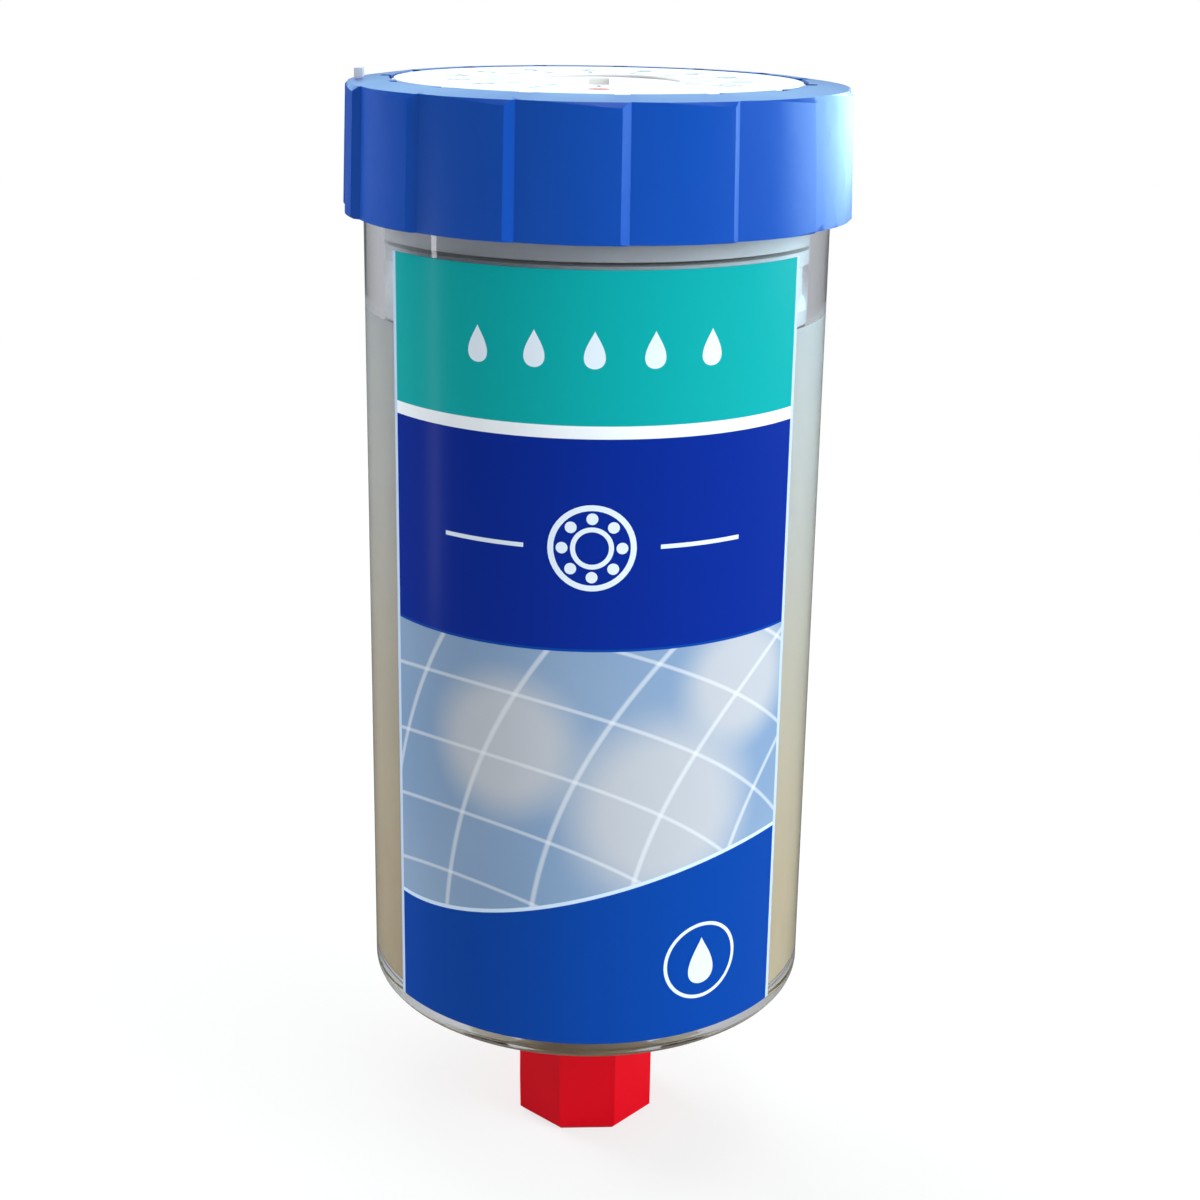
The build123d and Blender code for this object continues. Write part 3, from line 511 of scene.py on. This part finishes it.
def flat_rule(bm, middle, reach, width):
    """Flat bar across the film."""
    rows = bmesh.ops.create_grid(bm, x_segments=round(reach / INK_STEP), y_segments=1,
                                 size=0.5)["verts"]
    bmesh.ops.scale(bm, vec=(reach, width, 1), verts=rows)
    bmesh.ops.translate(bm, vec=(*middle, 0), verts=rows)


def wrap_ink(bm, radius, base, ink):
    """Bends flat shapes round the barrel's front and gives them an ink's thickness."""
    bmesh.ops.remove_doubles(bm, verts=bm.verts, dist=WELD)
    raised = bmesh.ops.extrude_face_region(bm, geom=bm.faces, use_keep_orig=True)["geom"]
    bmesh.ops.translate(bm, vec=(0, 0, ink),
                        verts=[item for item in raised if isinstance(item, bmesh.types.BMVert)])
    for vert in bm.verts:
        across, up, out = vert.co
        vert.co = ((radius + out) * sin(across / radius), -(radius + out) * cos(across / radius),
                   base + up)
    bmesh.ops.recalc_face_normals(bm, faces=bm.faces)


def thread_radius(sizes, z):
    """Crest radius of the outlet's taper thread at a height."""
    taper = 1 / 32
    return sizes.thread_radius + (z - sizes.thread_gauge) * taper


def cut_thread(bm, sizes):
    """Cuts a right-hand rounded thread into the outlet's outer wall, fading at both ends."""
    for vert in bm.verts:
        radius = hypot(vert.co.x, vert.co.y)
        z = vert.co.z
        if radius < sizes.funnel_radius or not TIP_CHAMFER <= z < sizes.outlet_length:
            continue
        turn = atan2(vert.co.y, vert.co.x) / FULL_TURN
        depth = sizes.thread_depth * (0.5 - 0.5 * cos(FULL_TURN * (z / sizes.thread_pitch - turn)))
        run_out = min(1.0, (z - TIP_CHAMFER) / sizes.thread_pitch,
                      (sizes.outlet_length - z) / sizes.thread_pitch)
        scale = (radius - depth * max(0.0, run_out)) / radius
        vert.co.x *= scale
        vert.co.y *= scale


class LUBRICATOR_OT_barrel(bpy.types.Operator):
    """Clear barrel with its outlet and snap neck, turned in one piece"""
    bl_idname = "lubricator.barrel"
    bl_label = "Clear barrel"

    def execute(self, context):
        sizes = context.scene.lubricator_barrel
        bore = sizes.radius - sizes.wall
        floor = sizes.lower_edge + sizes.wall
        funnel = floor - (bore - sizes.funnel_radius) * FLOOR_SLOPE
        foot = sizes.radius - sizes.foot_width
        neck = sizes.radius - sizes.neck_step
        ring_z = RING_LOW.z
        bead_z = ring_z + 2.4 * MM
        bead_top = bead_z + 1.8 * MM
        run = sizes.outlet_length - TIP_CHAMFER
        rings = int(run / (sizes.thread_pitch / 10))
        thread = [TIP_CHAMFER + run * index / rings for index in range(rings + 1)]
        corners = [(sizes.outlet_bore, 0.0), (thread_radius(sizes, 0.0) - TIP_CHAMFER, 0.0)]
        corners += [(thread_radius(sizes, z), z) for z in thread]
        corners += [
            (sizes.boss_radius, sizes.outlet_length),
            (sizes.boss_radius, sizes.outlet_length + sizes.boss_height),
            (foot, sizes.lower_edge), (sizes.radius, sizes.lower_edge), (sizes.radius, ring_z),
            (neck, ring_z), (neck, bead_z), (neck + sizes.bead, bead_z + sizes.bead),
            (neck + sizes.bead, bead_top - sizes.bead), (neck, bead_top),
            (neck, SHELL_HIGH.z), (bore, SHELL_HIGH.z), (bore, floor),
            (sizes.funnel_radius, funnel), (sizes.outlet_bore, funnel - sizes.funnel_depth)]
        bm = lathe(corners, BARREL_STEPS)
        foot_round = 0.3 * MM
        round_rim(bm, sizes.radius, sizes.lower_edge, sizes.edge_round, 6)
        round_rim(bm, bore, floor, sizes.corner_round, 5)
        round_rim(bm, foot, sizes.lower_edge, foot_round, 2)
        cut_thread(bm, sizes)
        shell = as_object(bm, "clear_barrel", clear_styrene(sizes.tint))
        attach(shell, "barrel")
        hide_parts("container")
        # Clear plastic hardly shades what it holds
        shell.visible_shadow = False
        return {"FINISHED"}


class LUBRICATOR_OT_grease(bpy.types.Operator):
    """Grease that fills the barrel up to the piston"""
    bl_idname = "lubricator.grease"
    bl_label = "Grease"

    def execute(self, context):
        sizes = context.scene.lubricator_barrel
        side = sizes.radius - sizes.wall + sizes.wetting
        bore = sizes.outlet_bore + sizes.wetting
        floor = sizes.lower_edge + sizes.wall - sizes.wetting
        rise = (side - sizes.funnel_radius) * FLOOR_SLOPE
        funnel = floor - rise
        top = PISTON_LOW.z - sizes.grease_gap
        crown = PISTON_LOW.z + rise - sizes.grease_gap
        rounding = sizes.corner_round
        lower_end = 0.6 * MM
        corners = [
            (0.0, lower_end), (bore, lower_end), (bore, funnel - sizes.funnel_depth),
            (sizes.funnel_radius, funnel), (side - rounding, floor - rounding * FLOOR_SLOPE),
            (side, floor + rounding), (side, crown + rounding),
            (side - rounding, crown - rounding * FLOOR_SLOPE), (sizes.funnel_radius, top),
            (0.0, top)]
        bm = lathe(corners, BARREL_STEPS)
        fill = as_object(bm, "grease_fill", lithium_grease(sizes.grease, sizes.aired))
        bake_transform(fill)
        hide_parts("grease_charge")
        return {"FINISHED"}


class LUBRICATOR_OT_label(bpy.types.Operator):
    """Printed film round the front of the barrel"""
    bl_idname = "lubricator.label"
    bl_label = "Printed film"

    def execute(self, context):
        design = context.scene.lubricator_label
        adhesive = 0.02 * MM
        inner = context.scene.lubricator_barrel.radius + adhesive
        outer = -LABEL_LOW.y
        low, high = LABEL_LOW.z, LABEL_HIGH.z
        bm = bmesh.new()
        section = bm.faces.new([
            bm.verts.new((-radius * sin(FILM_HALF_TURN), -radius * cos(FILM_HALF_TURN), z))
            for radius, z in ((inner, low), (outer, low), (outer, high), (inner, high))])
        turn_round(bm, [section], 96, 2 * FILM_HALF_TURN)
        bmesh.ops.remove_doubles(bm, verts=bm.verts, dist=WELD)
        bmesh.ops.recalc_face_normals(bm, faces=bm.faces)
        film = bm.loops.layers.uv.new("film_mm")
        for face in bm.faces:
            for loop in face.loops:
                x, y, z = loop.vert.co
                loop[film].uv = (outer / MM * atan2(x, -y), (z - low) / MM)
        label = as_object(bm, "printed_label", printed_film(design, high - low))
        # The back of the film: bare white polypropylene under its adhesive, satin
        label.data.materials.append(moulded_plastic("film_back_white", srgb("#E6E8E8"), 0.45,
                                                    0.4 * MM, 0.003 * MM, 1.49, tone=0.01))
        for face in label.data.polygons:
            if face.normal.dot(Vector((face.center.x, face.center.y, 0))) < 0:
                face.material_index = 1
        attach(label, "barrel")
        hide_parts("front_label")
        return {"FINISHED"}


class LUBRICATOR_OT_signs(bpy.types.Operator):
    """Plain signs on the film: drops, a bearing and rules"""
    bl_idname = "lubricator.signs"
    bl_label = "Printed signs"

    def execute(self, context):
        design = context.scene.lubricator_label
        height = LABEL_HIGH.z - LABEL_LOW.z
        band = height - design.upper_band / 2
        middle = height - design.upper_band - design.white_line - design.middle_band / 2
        bm = bmesh.new()
        drop_pitch = 6.0 * MM
        for place in range(-2, 3):
            flat_drop(bm, (place * drop_pitch, band), 1.5 * MM)
        # Bearing: two races with balls between them, and a rule at each side
        for inner, outer in ((3.9 * MM, 4.5 * MM), (1.7 * MM, 2.2 * MM)):
            flat_round(bm, (0, middle), inner, outer)
        balls = 8
        ball_circle = 3.05 * MM
        for place in range(balls):
            turn = FULL_TURN * place / balls
            flat_round(bm, (ball_circle * cos(turn), middle + ball_circle * sin(turn)), 0.0,
                       0.6 * MM, steps=20)
        rule_place = 11.5 * MM
        for side in (-1, 1):
            flat_rule(bm, (side * rule_place, middle), 9.0 * MM, 0.45 * MM)
        # Drop in a circle, low at the right
        corner = (13.0 * MM, 8.5 * MM)
        flat_round(bm, corner, 4.1 * MM, 4.5 * MM, steps=72)
        flat_drop(bm, corner, 2.2 * MM)
        ink = 0.01 * MM
        wrap_ink(bm, -LABEL_LOW.y, LABEL_LOW.z, ink)
        # White screen ink over the print, even and semi-gloss
        white = moulded_plastic("screen_ink_white", srgb("#DCE8F2"), 0.4, 0.5 * MM, 0.002 * MM, 1.5,
                                tone=0.02, shine=0.3)
        signs = as_object(bm, "film_signs", white)
        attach(signs, "barrel")
        return {"FINISHED"}


class LUBRICATOR_OT_piston(bpy.types.Operator):
    """Piston with its sealing lips and ribs"""
    bl_idname = "lubricator.piston"
    bl_label = "Piston"

    def execute(self, context):
        edge = context.scene.lubricator_head.small_edge
        # Natural polypropylene: milky, lets a little light in, IOR 1.49
        milky = moulded_plastic("polypropylene_natural", srgb("#E4E7E4"), 0.42, 0.3 * MM,
                                0.01 * MM, 1.49, tone=0.03, subsurface=0.3)
        disc = softened_copy("piston", "ribbed_piston", milky, edge)
        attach(disc, "piston")
        return {"FINISHED"}


class LUBRICATOR_OT_drive(bpy.types.Operator):
    """Drive housing with its cells, contacts and circuit board"""
    bl_idname = "lubricator.drive"
    bl_label = "Drive unit"

    def execute(self, context):
        edge = context.scene.lubricator_head.small_edge
        # Pale ABS, moulded with a fine matt grain, IOR 1.54
        pale = moulded_plastic("abs_pale_grey", srgb("#ECECE8"), 0.45, 0.25 * MM, 0.012 * MM, 1.54,
                               tone=0.03)
        housing = softened_copy("drive_housing", "drive_cup", pale, edge)
        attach(housing, "barrel")
        finish_nodes(pale, "cell_tray")
        # Nitrile rubber: near black, soft sheen, a slightly dusty moulded skin
        finish_nodes(moulded_plastic("nitrile_rubber", srgb("#1B1C1E"), 0.62, 0.2 * MM, 0.01 * MM,
                                     1.52), "housing_o_ring", "gas_cell_gasket", "dial_o_ring",
                     "cap_seal")
        # Nickel-plated steel, as on button cells and small screws
        finish_nodes(plain_metal("nickel_plated_steel", srgb("#B9BABC"), 0.28, 0.3 * MM),
                     "gas_cell", "battery_left", "battery_right", "cover_screws", "dial_clip")
        # Rolled phosphor bronze strip
        finish_nodes(plain_metal("phosphor_bronze", srgb("#C79A62"), 0.34, 0.25 * MM),
                     "battery_link", "contact_left", "contact_right", "gas_cell_contact", "wiper")
        # Sintered bronze: pressed grains, rough and dull
        finish_nodes(plain_metal("sintered_bronze", srgb("#9C7A4E"), 0.7, 0.15 * MM), "port_filter")
        # Glass-epoxy board under green solder mask, satin
        finish_nodes(moulded_plastic("epoxy_board_green", srgb("#12633A"), 0.36, 0.4 * MM,
                                     0.01 * MM, 1.55), "circuit_board")
        # Chip resistors: black glaze over alumina
        finish_nodes(moulded_plastic("chip_glaze_black", srgb("#17181A"), 0.3, 0.3 * MM, 0.005 * MM,
                                     1.6), "resistors")
        return {"FINISHED"}


class LUBRICATOR_OT_ring(bpy.types.Operator):
    """Saw-tooth grip ring with its notched lip"""
    bl_idname = "lubricator.ring"
    bl_label = "Grip ring"

    def execute(self, context):
        head = context.scene.lubricator_head
        # Blue polypropylene: satin, spark-eroded grain of a quarter millimetre, IOR 1.49
        blue = moulded_plastic("polypropylene_blue", head.ring, 0.3, 0.25 * MM, 0.006 * MM, 1.49,
                               shine=0.3)
        ring = softened_copy("grip_ring", "saw_tooth_ring", blue, head.ring_edge, segments=3,
                             angle=18)
        # Pale paint on the nub that marks the ring's place, the one thing above the disc
        ring.data.materials.append(moulded_plastic("marker_paint_pale", srgb("#C9CED6"), 0.4,
                                                   0.3 * MM, 0.004 * MM, 1.5))
        nub_foot = min(RING_HIGH.z, SCALE_HIGH.z + 0.1 * MM)
        for face in ring.data.polygons:
            if face.center.z > nub_foot:
                face.material_index = 1
        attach(ring, "barrel")
        return {"FINISHED"}


class LUBRICATOR_OT_head(bpy.types.Operator):
    """Cover, month dial, printed scale disc and its numbers"""
    bl_idname = "lubricator.head"
    bl_label = "Cover and scale"

    def execute(self, context):
        head = context.scene.lubricator_head
        # White ABS, satin
        white = moulded_plastic("abs_white", srgb("#F2F2F0"), 0.4, 0.25 * MM, 0.008 * MM, 1.54,
                                tone=0.02)
        cover = softened_copy("top_cover", "dial_cover", white, head.small_edge)
        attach(cover, "barrel")
        dial = softened_copy("time_dial", "slotted_dial", white, head.small_edge)
        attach(dial, "dial")
        # White film on the cover, smooth and a little glossy
        film = moulded_plastic("scale_film_white", srgb("#FAFAFA"), 0.3, 0.6 * MM, 0.004 * MM, 1.49,
                               tone=0.01)
        disc = softened_copy("scale_disc", "month_scale", film, 0.05 * MM)
        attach(disc, "barrel")
        self.print_scale(head)
        return {"FINISHED"}

    def print_scale(self, head):
        """Month numbers and ticks round the dial, and an off mark, raised by an ink's thickness."""
        grey = moulded_plastic("screen_ink_grey", head.print_dark, 0.5, 0.5 * MM, 0.002 * MM, 1.5)
        red = moulded_plastic("screen_ink_red", head.print_red, 0.5, 0.5 * MM, 0.002 * MM, 1.5)
        ink = 0.015 * MM
        tick_size = (0.35 * MM, 1.8 * MM, ink)
        tick_radius = 11.2 * MM
        number_radius = 15.2 * MM
        off_radius = 1.1 * MM
        top = SCALE_HIGH.z
        numbers, marks = bmesh.new(), bmesh.new()
        for month in range(head.months + 1):
            turn = -head.dial_turn * month / head.months
            spin = Matrix.Rotation(turn, 4, "Z")
            tick = bmesh.ops.create_cube(marks, size=1.0)["verts"]
            bmesh.ops.scale(marks, vec=tick_size, verts=tick)
            bmesh.ops.translate(marks, vec=(0, -tick_radius, top + ink / 2), verts=tick)
            bmesh.ops.rotate(marks, matrix=spin.to_3x3(), verts=tick)
            if month:
                curve = bpy.data.curves.new("number", "FONT")
                curve.body = str(month)
                curve.size = 3.4 * MM
                curve.align_x = "CENTER"
                curve.align_y = "CENTER"
                curve.extrude = ink / 2
                holder = placed("number", curve)
                bpy.context.view_layer.update()
                shape = bpy.data.meshes.new_from_object(holder)
                shape.transform(spin @ Matrix.Translation((0, -number_radius, top + ink / 2)))
                numbers.from_mesh(shape)
                bpy.data.objects.remove(holder)
                bpy.data.meshes.remove(shape)
        for bm, name, material in ((numbers, "month_numbers", grey), (marks, "month_ticks", grey)):
            bmesh.ops.remove_doubles(bm, verts=bm.verts, dist=WELD)
            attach(as_object(bm, name, material), "barrel")
        off = lathe([(0.0, top), (off_radius, top), (off_radius, top + ink), (0.0, top + ink)], 32)
        bmesh.ops.translate(off, vec=(0, -number_radius, 0), verts=off.verts)
        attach(as_object(off, "off_mark", red), "barrel")


class LUBRICATOR_OT_cap(bpy.types.Operator):
    """Eight-sided screw cap over the outlet"""
    bl_idname = "lubricator.cap"
    bl_label = "Outlet cap"

    def execute(self, context):
        head = context.scene.lubricator_head
        # Red polyethylene: waxy, softly translucent, IOR 1.52
        red = moulded_plastic("polyethylene_red", head.cap, 0.36, 0.35 * MM, 0.006 * MM, 1.52,
                              tone=0.04, subsurface=0.1, shine=0.1)
        cap = softened_copy("outlet_cap", "screw_cap", red, head.cap_edge, segments=4, angle=30)
        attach(cap, "cap")
        return {"FINISHED"}


class LUBRICATOR_OT_stage(bpy.types.Operator):
    """White floor, soft lamps, pale surroundings and the camera"""
    bl_idname = "lubricator.stage"
    bl_label = "Stage"

    def execute(self, context):
        look = context.scene.lubricator_stage
        self.place_floor(look)
        self.light_world(context, look)
        self.place_lamps(look)
        self.place_camera(context, look)
        context.scene.view_settings.view_transform = "Standard"
        return {"FINISHED"}

    def backdrop_level(self, tree, look):
        """White for the camera, and the levels that clear and glossy plastic show of it."""
        rays = add(tree, "ShaderNodeLightPath")
        level = rays.outputs["Is Camera Ray"]
        for kind, share in (("Is Transmission Ray", look.clear), ("Is Glossy Ray", look.gloss)):
            part = add(tree, "ShaderNodeMath", {0: rays.outputs[kind], 1: share},
                       operation="MULTIPLY")
            level = add(tree, "ShaderNodeMath", {0: level, 1: part.outputs["Value"]},
                        operation="MAXIMUM").outputs["Value"]
        return level, rays

    def place_floor(self, look):
        """Floor under the cap: it shows some shade near the object, and further off it is white."""
        bm = bmesh.new()
        bmesh.ops.create_circle(bm, cap_ends=True, segments=96, radius=FLOOR_RADIUS)
        bmesh.ops.translate(bm, vec=(0, 0, CAP_LOW.z - 0.02 * MM), verts=bm.verts)
        material, tree = start_material("paper_sweep_white")
        place = add(tree, "ShaderNodeTexCoord").outputs["Object"]
        away = add(tree, "ShaderNodeVectorMath", {0: place}, operation="LENGTH")
        share = add(tree, "ShaderNodeMapRange", {
            "Value": away.outputs["Value"], "From Min": 60 * MM, "From Max": 500 * MM,
            "To Min": NEAR_WHITE, "To Max": 1.0}, interpolation_type="SMOOTHSTEP")
        level, rays = self.backdrop_level(tree, look)
        seen = add(tree, "ShaderNodeMath", {0: rays.outputs["Is Camera Ray"],
                                            1: share.outputs["Result"]}, operation="MULTIPLY")
        for other in ("Is Glossy Ray", "Is Transmission Ray"):
            seen = add(tree, "ShaderNodeMath", {0: seen.outputs["Value"], 1: rays.outputs[other]},
                       operation="MAXIMUM")
        paper = add(tree, "ShaderNodeBsdfDiffuse", {"Color": rgba(look.floor)})
        glow = add(tree, "ShaderNodeEmission", {"Color": rgba(WHITE), "Strength": level})
        mixed = add(tree, "ShaderNodeMixShader", {"Fac": seen.outputs["Value"],
                                                  1: paper.outputs["BSDF"],
                                                  2: glow.outputs["Emission"]})
        add(tree, "ShaderNodeOutputMaterial", {"Surface": mixed.outputs["Shader"]})
        as_object(bm, "floor", material)

    def light_world(self, context, look):
        """Surroundings that light the object softly and look white."""
        world = bpy.data.worlds.new("studio")
        context.scene.world = world
        world.use_nodes = True
        tree = world.node_tree
        tree.nodes.clear()
        level, rays = self.backdrop_level(tree, look)
        soft = add(tree, "ShaderNodeMath", {0: rays.outputs["Is Diffuse Ray"], 1: look.ambient,
                                            2: level}, operation="MULTIPLY_ADD")
        sky = add(tree, "ShaderNodeBackground", {"Color": rgba(WHITE),
                                                 "Strength": soft.outputs["Value"]})
        add(tree, "ShaderNodeOutputWorld", {"Surface": sky.outputs["Background"]})

    def place_lamps(self, look):
        """Soft lamps right, left and overhead, and bright panels that the plastic mirrors.

        A row is a name, a place, a width and height in metres, a power, a colour, whether it
        lights the object and whether the plastic mirrors it.
        """
        middle = Vector((0, 0, 60 * MM))
        tint = look.reflected
        rows = (
            ("key_lamp", (0.575, -0.305, 0.30), (0.30, 0.45), look.key_power, COOL, True, False),
            ("fill_lamp", (-0.47, 0.37, 0.16), (0.30, 0.50), look.fill_power, COOL, True, False),
            ("top_lamp", (0.05, 0.10, 0.75), (0.50, 0.50), look.top_power, WHITE, True, True),
            ("window_panel", (0.44, 0.235, 0.20), (0.70, 0.30), look.window_power, tint, False,
             True),
            ("strip_panel", (-0.217, -0.038, 0.035), (0.012, 0.11), look.strip_power, WHITE, False,
             True),
            ("back_panel", (0.05, 0.80, 0.38), (1.20, 0.30), look.back_power, tint, False, True))
        for name, place, size, power, colour, lights, mirrored in rows:
            lamp = bpy.data.lights.new(name, "AREA")
            lamp.shape = "RECTANGLE"
            lamp.size, lamp.size_y = size
            lamp.energy = power
            lamp.color = colour
            holder = placed(name, lamp)
            holder.location = place
            holder.rotation_mode = "QUATERNION"
            holder.rotation_quaternion = (middle - Vector(place)).to_track_quat("-Z", "Y")
            holder.visible_camera = False
            holder.visible_transmission = False
            holder.visible_diffuse = lights
            holder.visible_glossy = mirrored

    def place_camera(self, context, look):
        """Camera in front of the barrel, a little above it, looking down."""
        forward = Vector((sin(look.yaw) * cos(look.pitch), cos(look.yaw) * cos(look.pitch),
                          -sin(look.pitch)))
        level = Vector((cos(look.yaw), -sin(look.yaw), 0.0))
        upward = level.cross(forward)
        right = level * cos(look.roll) + upward * sin(look.roll)
        up = upward * cos(look.roll) - level * sin(look.roll)
        camera = bpy.data.cameras.new("camera")
        camera.sensor_width = 36
        camera.lens = look.lens
        camera.shift_y = look.shift
        camera.clip_start = 10 * MM
        camera.clip_end = FLOOR_RADIUS
        holder = placed("camera", camera)
        turn = Matrix((right, up, -forward)).transposed().to_4x4()
        holder.matrix_world = Matrix.Translation((0, -look.distance, look.height)) @ turn
        context.scene.camera = holder


class LUBRICATOR_PT_panel(bpy.types.Panel):
    """Lists the lubricator's pieces and their sizes"""
    bl_idname = "LUBRICATOR_PT_panel"
    bl_label = "Automatic lubricator"
    bl_space_type = "VIEW_3D"
    bl_region_type = "UI"
    bl_category = "Lubricator"

    def draw(self, context):
        for group, _ in SETTINGS:
            box = self.layout.box()
            values = getattr(context.scene, group)
            for name in values.bl_rna.properties.keys():
                if name not in ("rna_type", "name"):
                    box.prop(values, name)
        for operator in OPERATORS:
            self.layout.operator(operator.bl_idname)


SETTINGS = (
    ("lubricator_barrel", BarrelSizes),
    ("lubricator_label", LabelDesign),
    ("lubricator_head", HeadFinish),
    ("lubricator_stage", StageLook),
)
OPERATORS = (
    LUBRICATOR_OT_barrel,
    LUBRICATOR_OT_grease,
    LUBRICATOR_OT_label,
    LUBRICATOR_OT_signs,
    LUBRICATOR_OT_piston,
    LUBRICATOR_OT_drive,
    LUBRICATOR_OT_ring,
    LUBRICATOR_OT_head,
    LUBRICATOR_OT_cap,
    LUBRICATOR_OT_stage,
)


def register():
    for name, group in SETTINGS:
        bpy.utils.register_class(group)
        setattr(bpy.types.Scene, name, PointerProperty(type=group))
    for item in (*OPERATORS, LUBRICATOR_PT_panel):
        bpy.utils.register_class(item)


def unregister():
    for item in reversed((*OPERATORS, LUBRICATOR_PT_panel)):
        bpy.utils.unregister_class(item)
    for name, group in reversed(SETTINGS):
        delattr(bpy.types.Scene, name)
        bpy.utils.unregister_class(group)


def main():
    register()
    bpy.ops.lubricator.barrel()
    bpy.ops.lubricator.grease()
    bpy.ops.lubricator.label()
    bpy.ops.lubricator.signs()
    bpy.ops.lubricator.piston()
    bpy.ops.lubricator.drive()
    bpy.ops.lubricator.ring()
    bpy.ops.lubricator.head()
    bpy.ops.lubricator.cap()
    bpy.ops.lubricator.stage()


if __name__ == "__main__":
    main()
